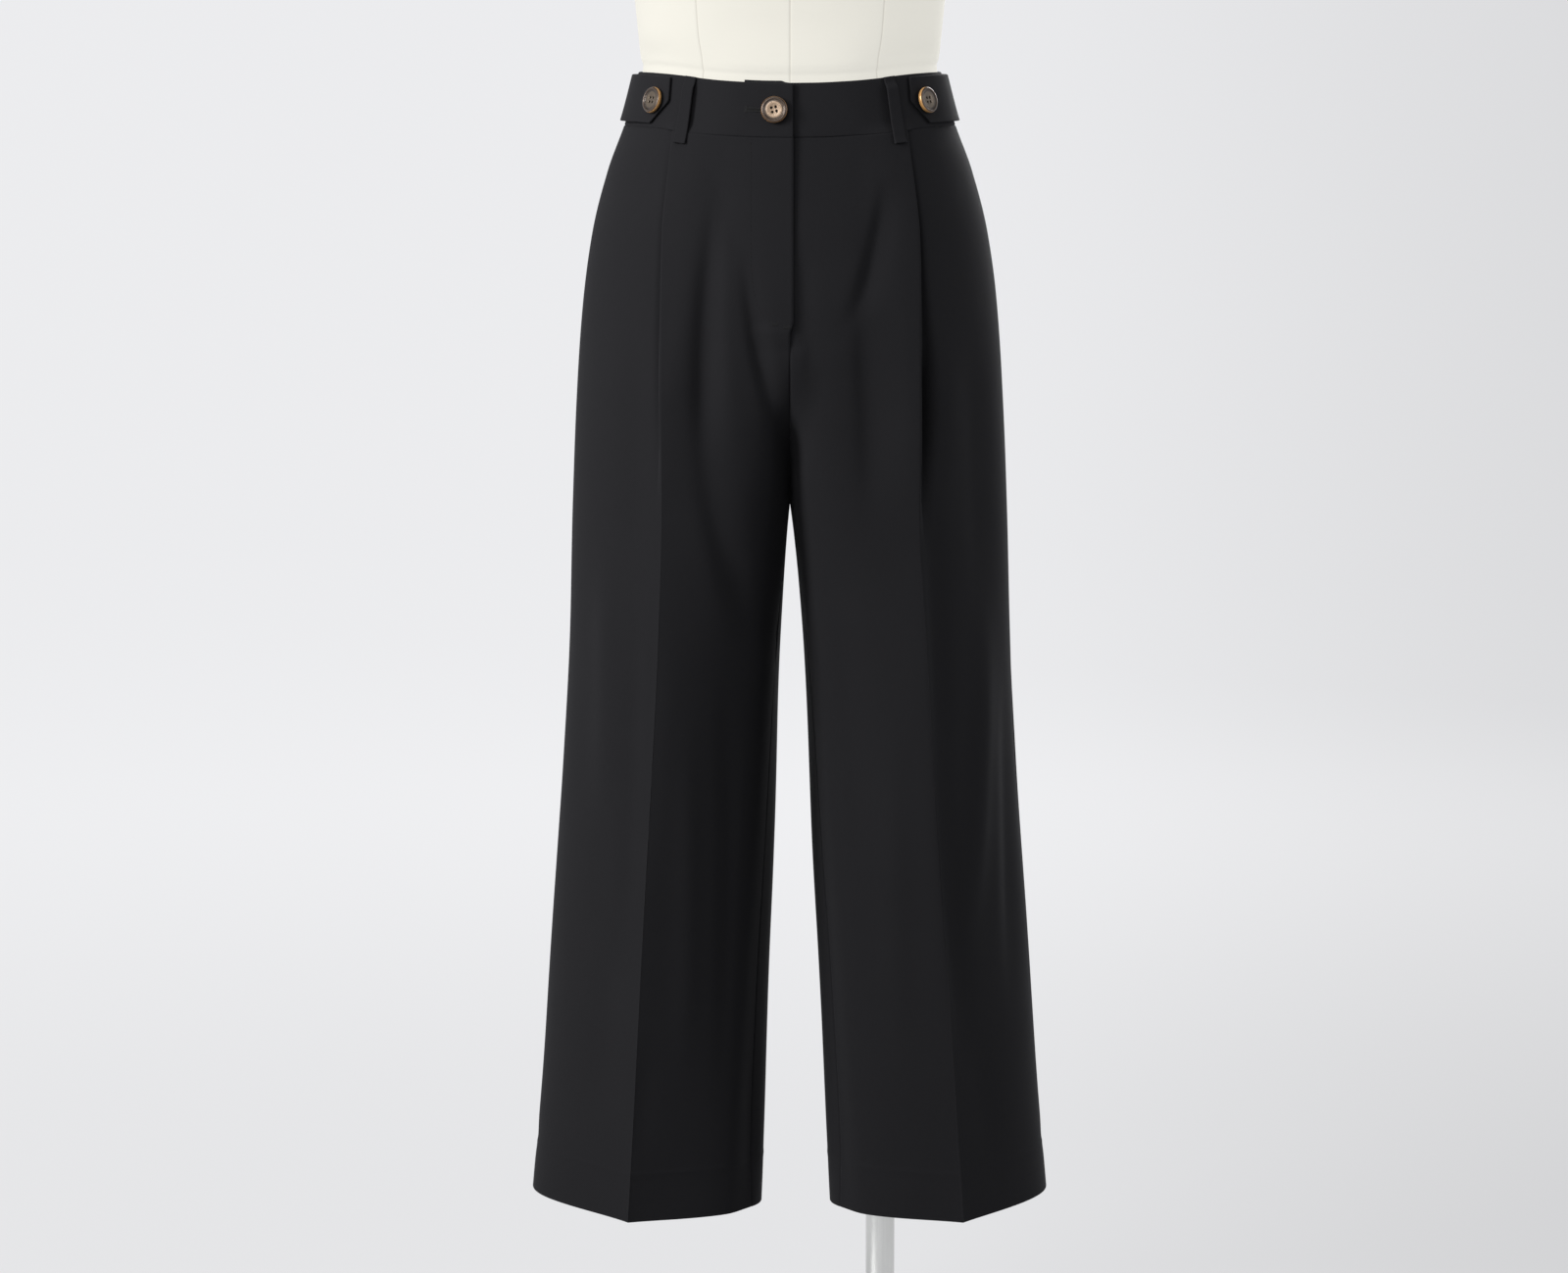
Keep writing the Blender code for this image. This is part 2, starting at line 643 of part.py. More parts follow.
def share_at(x, level):
    """The share of the girth at which the front of the band is x from the middle."""
    girth = half_girth(level)
    across = girth.points[:, 0]
    widest = int(np.argmax(across))
    return float(np.interp(x, across[:widest + 1], girth.lengths[:widest + 1])) / girth.length


def share_of_length(length):
    """The share of the girth that a length along the middle of the band takes."""
    return length / half_girth(BAND_MIDDLE_Z).length


def waist_shares(start, end):
    """The two shares and the even steps between them, which the form inside has too."""
    steps = [step / WAIST_STEPS for step in range(-WAIST_STEPS, 2 * WAIST_STEPS)]
    room = 0.05 / WAIST_STEPS
    return [start, *(step for step in steps if start + room < step < end - room), end]


def band_piece(name, hand, start, end, finish, lift=None, extra_top=None):
    """A length of the waistband between two shares of the girth."""
    lift = lift or (lambda share: 0.0)
    extra_top = extra_top or (lambda share: 0.0)
    outer, inner = [], []
    for up in (0.0, 0.5, 1.0):
        for grid, depth in ((outer, 0.0), (inner, -BAND_CLOTH)):
            row = []
            for share in waist_shares(start, end):
                low = WAIST_SEAM_Z + SEAM / 2
                level = low + (WAIST_TOP_Z + extra_top(share) - low) * up
                row.append(band_point(hand, share, level, lift(share) + depth))
            grid.append(row)
    return wall_between(name, outer, inner, finish)


def make_waistband(cloth):
    inner, outer = front_paths(WAIST_SEAM_Z, LEFT)
    length = half_girth(WAIST_SEAM_Z).length
    side = (inner.length + outer.length) / length
    gap = share_of_length(SEAM / 2)
    lap, under, shown = (share_of_length(size) for size in (FLY_LAP, BAND_UNDER, 4.0))
    band_piece("waistband_right", RIGHT, -lap, side - gap, cloth,
               lift=lambda share: lap_lift(share * length, WAIST_SEAM_Z))
    band_piece("waistband_left", LEFT, -under, side - gap, cloth,
               extra_top=lambda share: BAND_UNDER_RISE * ease((-lap - share) / shown))
    band_piece("waistband_back", LEFT, side + gap, 2 - side - gap, cloth)


# ---------------------------------------------------------------- loops and tabs
def belt_loop(name, hand, top_share, low_share, foot, finish):
    """A strip sewn down at both ends and standing off the band between them. Its foot is
    `foot` off the line of the waist, because the front loops end on the pleats."""
    size = BELT_LOOP
    low = WAIST_SEAM_Z - size["below"]
    length = WAIST_TOP_Z + size["above"] - low
    half = share_of_length(size["width"] / 2)
    outer, inner = [], []
    over_seam = size["below"] + 1.0
    for up, gap in ((0.0, foot), (over_seam, foot), (over_seam + size["bend"], size["stand_off"]),
                    (length - size["pad"] - size["bend"], size["stand_off"]),
                    (length - size["pad"], SEAM), (length, SEAM)):
        middle = low_share + (top_share - low_share) * up / length
        edges = (middle - half, middle, middle + half)
        face = gap + size["thick"]
        outer.append([band_point(hand, edge, low + up, face) for edge in edges])
        inner.append([band_point(hand, edge, low + up, gap) for edge in edges])
    return wall_between(name, outer, inner, finish)


def side_tab(name, hand, finish):
    """A pointed strip lying along the band, from its button round to the side of the back."""
    size = TAB
    outer, inner = [], []
    for up in (0.0, 0.25, 0.5, 0.75, 1.0):
        cut = size["lower_cut"] * (1 - 2 * up) if up < 0.5 else size["upper_cut"] * (2 * up - 1)
        level = WAIST_SEAM_Z + size["low"] + (size["high"] - size["low"]) * up
        outer_row, inner_row = [], []
        for g in np.linspace(size["tip"] + cut, size["tail"], 12):
            gap = read(TAB_STAND_OFF, "gap", g)
            inner_row.append(band_point(hand, share_of_length(g), level, gap))
            outer_row.append(band_point(hand, share_of_length(g), level, gap + size["thick"]))
        outer.append(outer_row)
        inner.append(inner_row)
    return wall_between(name, outer, inner, finish)


def make_loops_and_tabs(cloth):
    top = share_at(FRONT_LOOP_TOP_X, WAIST_TOP_Z)
    low = share_at(FRONT_LOOP_LOW_X, WAIST_SEAM_Z)
    for hand, side_name in ((RIGHT, "right"), (LEFT, "left")):
        belt_loop(f"belt_loop_{side_name}", hand, top, low, 4 * PLEAT_RADIUS + SEAM, cloth)
        side_tab(f"side_tab_{side_name}", hand, cloth)
    belt_loop("belt_loop_back", LEFT, 1.0, 1.0, SEAM, cloth)


# ---------------------------------------------------------------- buttons
def button(name, seat, outward, finish):
    """A four-hole button with a raised rim and a dished face, its back on `seat`."""
    radius, height = BUTTON["radius"], BUTTON["height"]
    profile = ((radius - 1.5, 0.0), (radius - 0.2, 1.2), (radius, 2.6), (radius - 0.6, height),
               (radius - 2.0, height), (radius - 2.7, height - 0.9), (radius - 4.2, height - 1.2))
    sides = 16
    rings = [[(r * math.cos(2 * math.pi * k / sides), r * math.sin(2 * math.pi * k / sides), up)
              for k in range(sides)] for r, up in profile]
    made = stack_of_rings(name, rings, finish, 30.0)
    cutter_points, cutter_faces = [], []
    hole_sides = 8
    for corner in range(4):
        angle = math.radians(45 + 90 * corner)
        centre = np.array([math.cos(angle), math.sin(angle)]) * BUTTON["hole_pitch"] / math.sqrt(2)
        base = len(cutter_points)
        for up in (-2.0, height + 2.0):
            for k in range(hole_sides):
                turn = 2 * math.pi * k / hole_sides
                x, y = centre + BUTTON["hole_radius"] * np.array([math.cos(turn), math.sin(turn)])
                cutter_points.append((x, y, up))
        for k in range(hole_sides):
            after = (k + 1) % hole_sides
            cutter_faces.append([base + k, base + after, base + hole_sides + after,
                                 base + hole_sides + k])
        cutter_faces.append([base + k for k in range(hole_sides)])
        cutter_faces.append([base + hole_sides + k for k in range(hole_sides)])
    cutter = add_object(f"{name}_hole_cutter", cutter_points, cutter_faces, finish)
    cutter.hide_render = True
    cutter.display_type = "WIRE"
    cutter.parent = made
    cut = made.modifiers.new("holes", "BOOLEAN")
    cut.operation = "DIFFERENCE"
    cut.object = cutter
    facing = np.array(outward) / np.linalg.norm(outward)
    sideways = np.cross((0, 0, 1), facing)
    sideways /= np.linalg.norm(sideways)
    upward = np.cross(facing, sideways)
    frame = np.eye(4)
    frame[:3, 0], frame[:3, 1], frame[:3, 2] = sideways, upward, facing
    frame[:3, 3] = np.array(seat) * MM
    made.matrix_world = Matrix(frame)
    return made


def band_seat(hand, share, out_at):
    """A place halfway up the band and the way it faces, for a button of the full radius."""
    reach = BUTTON["radius"] * 0.8
    step = share_of_length(reach)

    def place(along, up):
        return band_point(hand, share + along * step, BAND_MIDDLE_Z + up * reach,
                          out_at(share + along * step))

    facing = np.cross(place(1, 0) - place(-1, 0), place(0, 1) - place(0, -1)) * hand
    return place(0, 0), facing / np.linalg.norm(facing)


def make_buttons(horn):
    length = half_girth(WAIST_SEAM_Z).length
    seat, facing = band_seat(RIGHT, share_of_length(FRONT_BUTTON_G),
                             lambda share: lap_lift(share * length, WAIST_SEAM_Z) + BUTTON_GAP)
    button("button_front", seat, facing, horn)
    on_tab = read(TAB_STAND_OFF, "gap", TAB_BUTTON_G) + TAB["thick"] + BUTTON_GAP
    for hand, side_name in ((RIGHT, "right"), (LEFT, "left")):
        seat, facing = band_seat(hand, share_of_length(TAB_BUTTON_G), lambda share: on_tab)
        button(f"button_tab_{side_name}", seat, facing, horn)


# ---------------------------------------------------------------- dress form and stand
def oval_ring(z, half_width, front, back):
    """A body section: rounder than a box, fuller than an ellipse."""
    ring = []
    for side in range(FORM_SIDES):
        angle = 2 * math.pi * side / FORM_SIDES - math.pi / 2
        c, s = math.cos(angle), math.sin(angle)
        power = 2 / FORM_ROUNDNESS
        depth = front if s < 0 else back
        ring.append((math.copysign(abs(c) ** power, c) * half_width,
                     math.copysign(abs(s) ** power, s) * depth, z))
    return ring


def garment_ring(z):
    """A section of the form that follows the trousers' own, just inside the cloth."""
    girth = half_girth(z)
    inset = read(FORM_INSET, "inset", z)
    half = []
    for side in range(FORM_SIDES // 2 + 1):
        s = girth.length * side / (FORM_SIDES // 2)
        x, y = girth.at(s) - girth.normal(s) * inset
        half.append((0.0 if side in (0, FORM_SIDES // 2) else x, y, height_at(x, y, z)))
    return half + [(-x, y, z) for x, y, z in half[-2:0:-1]]


def make_form(linen, steel, wood):
    rings = [oval_ring(*(row[name] for name in ("z", "half_width", "front", "back")))
             for row in rows_of(FORM_BELOW)]
    rings += [garment_ring(z) for z in (880, 910, 945, 985, 1020, 1044, 1068, 1092)]
    rings += [oval_ring(*(row[name] for name in ("z", "half_width", "front", "back")))
              for row in rows_of(FORM_ABOVE)]
    stack_of_rings("form_torso", rings, linen, 60.0)
    top = rows_of(FORM_ABOVE)[-1]
    cap_low = top["z"] + JOINT_GAP
    sizes = ((1.02, 0.0), (1.05, 0.25), (1.05, 0.7), (0.98, 1.0))
    rings = [oval_ring(cap_low + NECK_CAP_HEIGHT * up, top["half_width"] * size,
                       top["front"] * size, top["back"] * size) for size, up in sizes]
    stack_of_rings("form_neck_cap", rings, wood, 35.0)

    form_low = rows_of(FORM_BELOW)[0]["z"]
    pole_low = BASE_HEIGHT + JOINT_GAP
    turned("stand_pole", ((POLE_RADIUS, pole_low), (POLE_RADIUS, form_low - JOINT_GAP)),
           (POLE_X, 0.0), 20, steel)
    bore = POLE_RADIUS + JOINT_GAP
    collar = ((COLLAR_RADIUS, pole_low), (COLLAR_RADIUS, pole_low + COLLAR_HEIGHT * 0.75),
              (bore + 3.5, pole_low + COLLAR_HEIGHT), (bore, pole_low + COLLAR_HEIGHT),
              (bore, pole_low))
    ring_solid("stand_collar", collar, (POLE_X, 0.0), 20, steel)
    base = ((BASE_RADIUS - 1.0, 0.0), (BASE_RADIUS, 1.0), (BASE_RADIUS, BASE_HEIGHT - 2.0),
            (BASE_RADIUS - 2.0, BASE_HEIGHT))
    turned("stand_base", base, (0.0, 0.0), 40, steel)


def ring_solid(name, profile, centre, sides, finish):
    """A round solid with a hole through it, from a closed loop of (radius, z) pairs."""
    points, faces = [], []
    for radius, z in profile:
        for side in range(sides):
            angle = 2 * math.pi * side / sides
            points.append((centre[0] + radius * math.cos(angle),
                           centre[1] + radius * math.sin(angle), z))
    for level in range(len(profile)):
        above = (level + 1) % len(profile)
        for side in range(sides):
            after = (side + 1) % sides
            faces.append([level * sides + side, level * sides + after,
                          above * sides + after, above * sides + side])
    return add_object(name, points, faces, finish, 35.0)


def main():
    for old in list(bpy.data.objects):
        bpy.data.objects.remove(old)
    cloth = material("charcoal_suiting", (0.028, 0.028, 0.031), 0.85)
    horn = material("bronze_horn", (0.30, 0.19, 0.12), 0.4)
    linen = material("ivory_linen", (0.78, 0.74, 0.66), 0.9)
    steel = material("brushed_steel", (0.62, 0.63, 0.65), 0.35, 1.0)
    wood = material("pale_wood", (0.62, 0.47, 0.30), 0.5)
    make_panels(cloth)
    make_waistband(cloth)
    make_loops_and_tabs(cloth)
    make_buttons(horn)
    make_form(linen, steel, wood)


main()
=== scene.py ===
# %% [markdown]
# Wide-leg trousers on a dress form. The packed solids are the frame: they hold the true place of
# every panel, loop, tab and button. This lesson dresses them in finer cloth, buttons and finishes.

# %% Load the frame
import functools
import math

import bmesh
import bpy
import numpy as np
from mathutils import Matrix, Vector


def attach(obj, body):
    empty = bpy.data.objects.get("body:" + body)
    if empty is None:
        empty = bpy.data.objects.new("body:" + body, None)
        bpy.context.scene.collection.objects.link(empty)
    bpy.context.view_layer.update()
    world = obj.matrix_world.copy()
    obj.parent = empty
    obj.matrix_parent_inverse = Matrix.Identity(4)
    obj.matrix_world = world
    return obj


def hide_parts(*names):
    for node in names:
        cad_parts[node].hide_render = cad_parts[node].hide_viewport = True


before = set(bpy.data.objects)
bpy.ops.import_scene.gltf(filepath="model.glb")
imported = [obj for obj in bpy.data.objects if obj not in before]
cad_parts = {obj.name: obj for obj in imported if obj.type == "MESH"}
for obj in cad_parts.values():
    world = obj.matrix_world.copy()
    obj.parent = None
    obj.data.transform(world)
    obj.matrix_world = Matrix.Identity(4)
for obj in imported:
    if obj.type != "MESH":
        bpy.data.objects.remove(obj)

MM = 0.001
RIGHT, LEFT = -1, 1      # the wearer's, seen along X
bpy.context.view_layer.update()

# %% [markdown]
# The camera stands where the photographer's did: level with the waist, well back, and tipped a
# little down. A long lens far away keeps the legs almost parallel, as a catalogue picture does.

# %% Camera
CAMERA_PLACE = (-0.0048, -3.6, 1.12)
CAMERA_TIP = 7.785
LENS = 101.063

camera_data = bpy.data.cameras.new("photo_camera")
camera_data.sensor_width = 36.0
camera_data.sensor_fit = "HORIZONTAL"
camera_data.lens = LENS
camera = bpy.data.objects.new("photo_camera", camera_data)
camera.location = CAMERA_PLACE
camera.rotation_euler = (math.radians(90.0 - CAMERA_TIP), 0.0, 0.0)
bpy.context.scene.collection.objects.link(camera)
bpy.context.scene.camera = camera
print("camera", CAMERA_PLACE, "lens", LENS)

# %% [markdown]
# Shader maths reads best as ordinary expressions. This small class wraps a socket, so that
# `1 - mask` adds a Math node. The nodes could be placed and linked one by one, but a formula of
# five terms would then take thirty lines, and nobody could read it.

# %% Shader expressions
class Wire:
    """A socket that can be added, multiplied and raised like a number."""

    def __init__(self, finish, socket):
        self.finish, self.socket = finish, socket

    def math(self, operation, *others):
        return self.finish.add("Math", {"operation": operation}, dict(enumerate(others)))

    def __add__(self, other):
        return self.math("ADD", self, other)

    def __radd__(self, other):
        return self.math("ADD", other, self)

    def __sub__(self, other):
        return self.math("SUBTRACT", self, other)

    def __rsub__(self, other):
        return self.math("SUBTRACT", other, self)

    def __mul__(self, other):
        return self.math("MULTIPLY", self, other)

    def __rmul__(self, other):
        return self.math("MULTIPLY", other, self)

    def __truediv__(self, other):
        return self.math("DIVIDE", self, other)

    def __rtruediv__(self, other):
        return self.math("DIVIDE", other, self)

    def __pow__(self, other):
        return self.math("POWER", self, other)

    def __rpow__(self, other):
        return self.math("POWER", other, self)

    def sine(self):
        return self.math("SINE", self)

    def smooth(self, low, high):
        """0 at low, 1 at high, eased between."""
        return self.finish.add("MapRange", {"interpolation_type": "SMOOTHSTEP"}, {
            "Value": self, "From Min": low, "From Max": high})


print("sockets can now be added, subtracted, multiplied, divided and raised")

# %% [markdown]
# A finish is one material. It starts from Blender's Principled shader, which covers cloth, metal,
# wood and plastic alike, and `add` makes any other node: its type, its settings, then what goes
# into its sockets. The methods below it are the few patterns that every finish here shares.

# %% Finishes
class Finish:
    """A node material, built from the surface inwards."""

    def __init__(self, name, **settings):
        self.material = bpy.data.materials.new(name)
        self.material.use_nodes = True
        self.tree = self.material.node_tree
        self.surface = self.tree.nodes["Principled BSDF"]
        for socket, value in settings.items():
            self.set(socket.replace("_", " "), value)

    def set(self, socket, value):
        target = self.surface.inputs[socket]
        if isinstance(value, Wire):
            self.tree.links.new(value.socket, target)
        else:
            target.default_value = value

    def add(self, kind, settings=None, sockets=None, output=0):
        node = self.tree.nodes.new("ShaderNode" + kind)
        for name, value in (settings or {}).items():
            setattr(node, name, value)
        for name, value in (sockets or {}).items():
            if isinstance(value, Wire):
                self.tree.links.new(value.socket, node.inputs[name])
            else:
                node.inputs[name].default_value = value
        return Wire(self, node.outputs[output])

    def place(self, scale=(1.0, 1.0, 1.0), source="Object", turn=(0.0, 0.0, 0.0)):
        where = self.add("TexCoord", output={"Object": 3, "UV": 2}[source])
        return self.add("Mapping", {}, {"Vector": where, "Scale": scale, "Rotation": turn})

    def axis(self, vector, name):
        return self.add("SeparateXYZ", {}, {"Vector": vector}, output="XYZ".index(name))

    def noise(self, vector, scale, detail=3.0, roughness=0.5):
        return self.add("TexNoise", {}, {"Vector": vector, "Scale": scale, "Detail": detail,
                                         "Roughness": roughness})

    def mix(self, factor, first, second):
        return self.add("Mix", {"data_type": "RGBA"}, {0: factor, 6: first, 7: second}, output=2)

    def relief(self, height, distance, strength=1.0):
        self.set("Normal", self.add("Bump", {}, {
            "Height": height, "Distance": distance, "Strength": strength}))


print("a finish can:", ", ".join(name for name in vars(Finish) if not name.startswith("_")))

# %% [markdown]
# Suiting is a fine twill: yarns about half a millimetre apart, with a diagonal rib. From three
# metres the rib melts into a soft bloom, so most of the look is a nearly black colour, a weak
# sheen and a slight unevenness. A picture of cloth could be laid on it, but sines of the cloth's
# own flat coordinates stay sharp near by, follow every panel and need no file.

# %% Trouser cloth
YARNS = 2200.0           # per metre
CLOTH_DARK = (0.0113, 0.0112, 0.0127, 1.0)
CLOTH_PALE = (0.0160, 0.0158, 0.0179, 1.0)

cloth = Finish("charcoal_suiting", Roughness=0.82, Specular_IOR_Level=0.06, Sheen_Weight=0.03,
               Sheen_Roughness=0.5, Sheen_Tint=(0.85, 0.85, 0.90, 1.0))
on_cloth = cloth.place(source="UV")
across = cloth.axis(on_cloth, "X") * YARNS
along = cloth.axis(on_cloth, "Y") * YARNS
rib = ((across + along) * (math.pi / 2)).sine() * 0.5 + 0.5
yarn = (along * math.pi).sine() * 0.25 + (across * math.pi).sine() * 0.25 + 0.5
slub = cloth.noise(cloth.place((900.0, 60.0, 1.0), "UV"), 1.0, 2.0)
cloudy = cloth.noise(cloth.place(), 11.0, 2.0)
cloth.set("Base Color", cloth.mix(rib * 0.35 + slub * 0.35 + cloudy * 0.30, CLOTH_DARK, CLOTH_PALE))
cloth.set("Roughness", 0.90 - rib * 0.10 - cloudy * 0.06)
cloth.relief(rib * 0.6 + yarn * 0.4 + slub * 0.3, 0.00012, 0.55)

thread = Finish("black_thread", Roughness=0.7, Specular_IOR_Level=0.2)
thread_twist = thread.axis(thread.place((1.0, 1.0, 3.0)), "Z") * 3000.0
thread.set("Base Color", thread.mix(thread_twist.sine() * 0.5 + 0.5, (0.0035, 0.0035, 0.004, 1.0),
                                    (0.0070, 0.0070, 0.0078, 1.0)))
print("materials:", cloth.material.name, thread.material.name)

# %% [markdown]
# The form's cover is a smooth ivory plain weave, the stand is brushed steel and the neck cap is
# turned wood. Each grain is a noise stretched along the way the thing was made: round the tube,
# along the plate, up the wood. The cover also glows faintly: that glow is painted light, which
# lifts the whole cover evenly so that its shaded side stays pale, and it is dimmer at the seams.

# %% Form, steel and wood
# The emission is painted light: an even glow that keeps the shaded side of the cover pale.
cover = Finish("ivory_cover", Roughness=0.9, Specular_IOR_Level=0.2, Sheen_Weight=0.08,
               Emission_Color=(0.86, 0.845, 0.775, 1.0), Emission_Strength=0.70)
on_cover = cover.place(source="UV")
cover_weave = ((cover.axis(on_cover, "X") * 7000.0).sine()
               * (cover.axis(on_cover, "Y") * 7000.0).sine())
cover_slub = cover.noise(cover.place((60.0, 900.0, 1.0), "UV"), 1.0, 3.0)
cover_cloud = cover.noise(cover.place(), 7.0, 3.0)
seam_shade = cover.add("Attribute", {"attribute_name": "seam"}, output=2)
cover_tone = cover.mix(cover_slub * 0.5 + cover_cloud * 0.5, (0.235, 0.225, 0.195, 1.0),
                       (0.265, 0.255, 0.225, 1.0))
cover.set("Base Color", cover.mix(seam_shade * 0.55, cover_tone, (0.14, 0.13, 0.11, 1.0)))
# The painted glow is dimmer along the seams.
cover.set("Emission Color", cover.mix(seam_shade * 0.45, (0.86, 0.845, 0.775, 1.0),
                                      (0.50, 0.48, 0.42, 1.0)))
cover.relief(cover_weave * 0.5 + cover_slub * 0.5, 0.00012, 0.6)

steel = Finish("brushed_steel", Metallic=1.0, Roughness=0.32)
brush = steel.noise(steel.place((1400.0, 1400.0, 9.0)), 1.0, 3.0, 0.6)
steel.set("Base Color", steel.mix(brush, (0.62, 0.625, 0.615, 1.0), (0.78, 0.785, 0.77, 1.0)))
steel.set("Roughness", brush * 0.16 + 0.26)
steel.relief(brush, 0.00003, 0.5)

plate = Finish("satin_steel_plate", Metallic=1.0, Roughness=0.42)
plate_grain = plate.noise(plate.place((30.0, 1500.0, 30.0)), 1.0, 3.0, 0.6)
plate_cloud = plate.noise(plate.place(), 9.0, 3.0)
plate.set("Base Color", plate.mix(plate_grain * 0.6 + plate_cloud * 0.4, (0.46, 0.465, 0.47, 1.0),
                                  (0.60, 0.605, 0.61, 1.0)))
plate.set("Roughness", plate_grain * 0.12 + plate_cloud * 0.10 + 0.30)
plate.relief(plate_grain, 0.00004, 0.5)

wood = Finish("turned_wood", Roughness=0.45, Coat_Weight=0.25, Coat_Roughness=0.25)
wood_warp = wood.noise(wood.place((3.0, 3.0, 3.0)), 2.0, 2.0)
wood_rings = ((wood.axis(wood.place(), "X") * 420.0 + wood_warp * 9.0).sine() * 0.5 + 0.5) ** 2.0
wood_fibre = wood.noise(wood.place((900.0, 22.0, 60.0)), 1.0, 3.0)
wood.set("Base Color", wood.mix(wood_rings * 0.6 + wood_fibre * 0.4, (0.50, 0.33, 0.18, 1.0),
                                (0.66, 0.49, 0.31, 1.0)))
wood.set("Roughness", wood_fibre * 0.15 + 0.38)
wood.relief(wood_rings * 0.5 + wood_fibre * 0.5, 0.0001, 0.35)
print("materials:", cover.material.name, steel.material.name, plate.material.name,
      wood.material.name)

# %% [markdown]
# The buttons look like old bronze: a dull dished face, darker in the groove, with a bright amber
# ring round the edge that is a painted highlight. A picture could hold it, but it follows the turned
# shape, so the tone is worked out from the distance to the button's own middle, kept in its flat
# coordinates. The two on the tabs are darker than the one in front, which is painted shade for
# their faces turned away to the sides, so one function makes both.

# %% Button horn
BUTTON_RADIUS = 10.5

def horn_finish(name, face_dark, face_pale, edge_highlight):
    """Old bronze: face, dark groove and rim, and a bright edge that is a painted highlight."""
    horn = Finish(name, Metallic=0.5, Roughness=0.34, Coat_Weight=0.35, Coat_Roughness=0.16)
    on_button = horn.place(source="UV")
    button_x, button_y = horn.axis(on_button, "X"), horn.axis(on_button, "Y")
    from_middle = (button_x * button_x + button_y * button_y) ** 0.5
    streaks = horn.noise(horn.place((140.0, 900.0, 1.0), "UV", (0.0, 0.0, 0.6)), 1.0, 4.0)
    patches = horn.noise(on_button, 260.0, 3.0)
    edge = from_middle.smooth(0.01005, 0.0103)
    rim = from_middle.smooth(0.0076, 0.0084)
    groove = from_middle.smooth(0.0062, 0.0070) * (1 - from_middle.smooth(0.0078, 0.0086))
    face_tone = horn.mix(streaks * 0.5 + patches * 0.5, face_dark, face_pale)
    rim_tone = horn.mix(rim, face_tone, (0.052, 0.032, 0.020, 1.0))
    groove_tone = horn.mix(groove * 0.85, rim_tone, (0.026, 0.017, 0.013, 1.0))
    horn.set("Base Color", horn.mix(edge, groove_tone, edge_highlight))
    horn.set("Roughness", patches * 0.20 + 0.27 - rim * 0.06)
    horn.set("Metallic", 0.55 - edge * 0.35)
    horn.relief(streaks * 0.6 + patches * 0.4, 0.00006, 0.5)
    return horn.material


# The tabs take a darker copy, which is painted shade; each bright edge colour is a painted
# highlight.
pale_horn = horn_finish("bronze_horn", (0.17, 0.115, 0.075, 1.0), (0.44, 0.315, 0.215, 1.0),
                        (0.42, 0.21, 0.08, 1.0))
shaded_horn = horn_finish("shaded_bronze_horn", (0.045, 0.034, 0.024, 1.0), (0.13, 0.095, 0.062, 1.0),
                        (0.62, 0.33, 0.11, 1.0))
print("materials:", pale_horn.name, shaded_horn.name)

# %% [markdown]
# A cutter works from a few sizes at each height. These short tables hold them, in millimetres
# and degrees: the girth with its creases and side seams, how the cloth turns at each, the
# shoulder of cloth between the middle and the crease, and the inside of the leg. The legs could be
# modelled from tubes by pulling at points, but then no size could be read off or changed.

# %% Sizes of the trousers
class Table:
    """Rows of named sizes, read between rows on a smooth curve that never overshoots."""

    def __init__(self, columns, rows):
        values = np.array(sorted(rows), float)
        self.places = values[:, 0]
        self.values = {name: values[:, index] for index, name in enumerate(columns)}
        self.slopes = {name: self.settle(values[:, index]) for index, name in enumerate(columns)}

    def settle(self, values):
        steps = np.diff(self.places)
        rises = np.diff(values) / steps
        slopes = np.zeros(len(values))
        slopes[0], slopes[-1] = rises[0], rises[-1]
        for index in range(1, len(values) - 1):
            before, after = rises[index - 1], rises[index]
            if before * after > 0:
                wide = 2 * steps[index] + steps[index - 1]
                narrow = steps[index] + 2 * steps[index - 1]
                slopes[index] = (wide + narrow) / (wide / before + narrow / after)
        return slopes

    def at(self, name, place):
        place = np.clip(place, self.places[0], self.places[-1])
        low = np.clip(np.searchsorted(self.places, place, side="right") - 1, 0,
                      len(self.places) - 2)
        step = self.places[low + 1] - self.places[low]
        values, slopes = self.values[name], self.slopes[name]
        return hermite(values[low], slopes[low] * step, values[low + 1], slopes[low + 1] * step,
                       (place - self.places[low]) / step)


def hermite(p0, m0, p1, m1, t):
    return ((2 * t**3 - 3 * t**2 + 1) * p0 + (t**3 - 2 * t**2 + t) * m0
            + (3 * t**2 - 2 * t**3) * p1 + (t**3 - t**2) * m1)


HEM_Z = 159.0
CROTCH_Z = 742.0
CROTCH_Y = -12.0
WAIST_SEAM_Z = 1044.0
WAIST_TOP_Z = 1086.5
BAND_MIDDLE_Z = (WAIST_SEAM_Z + WAIST_TOP_Z) / 2
HIP_LEVEL_Z = 1000.0
FRONT_BEND_Z = 872.0
BACK_BEND_Z = 886.0

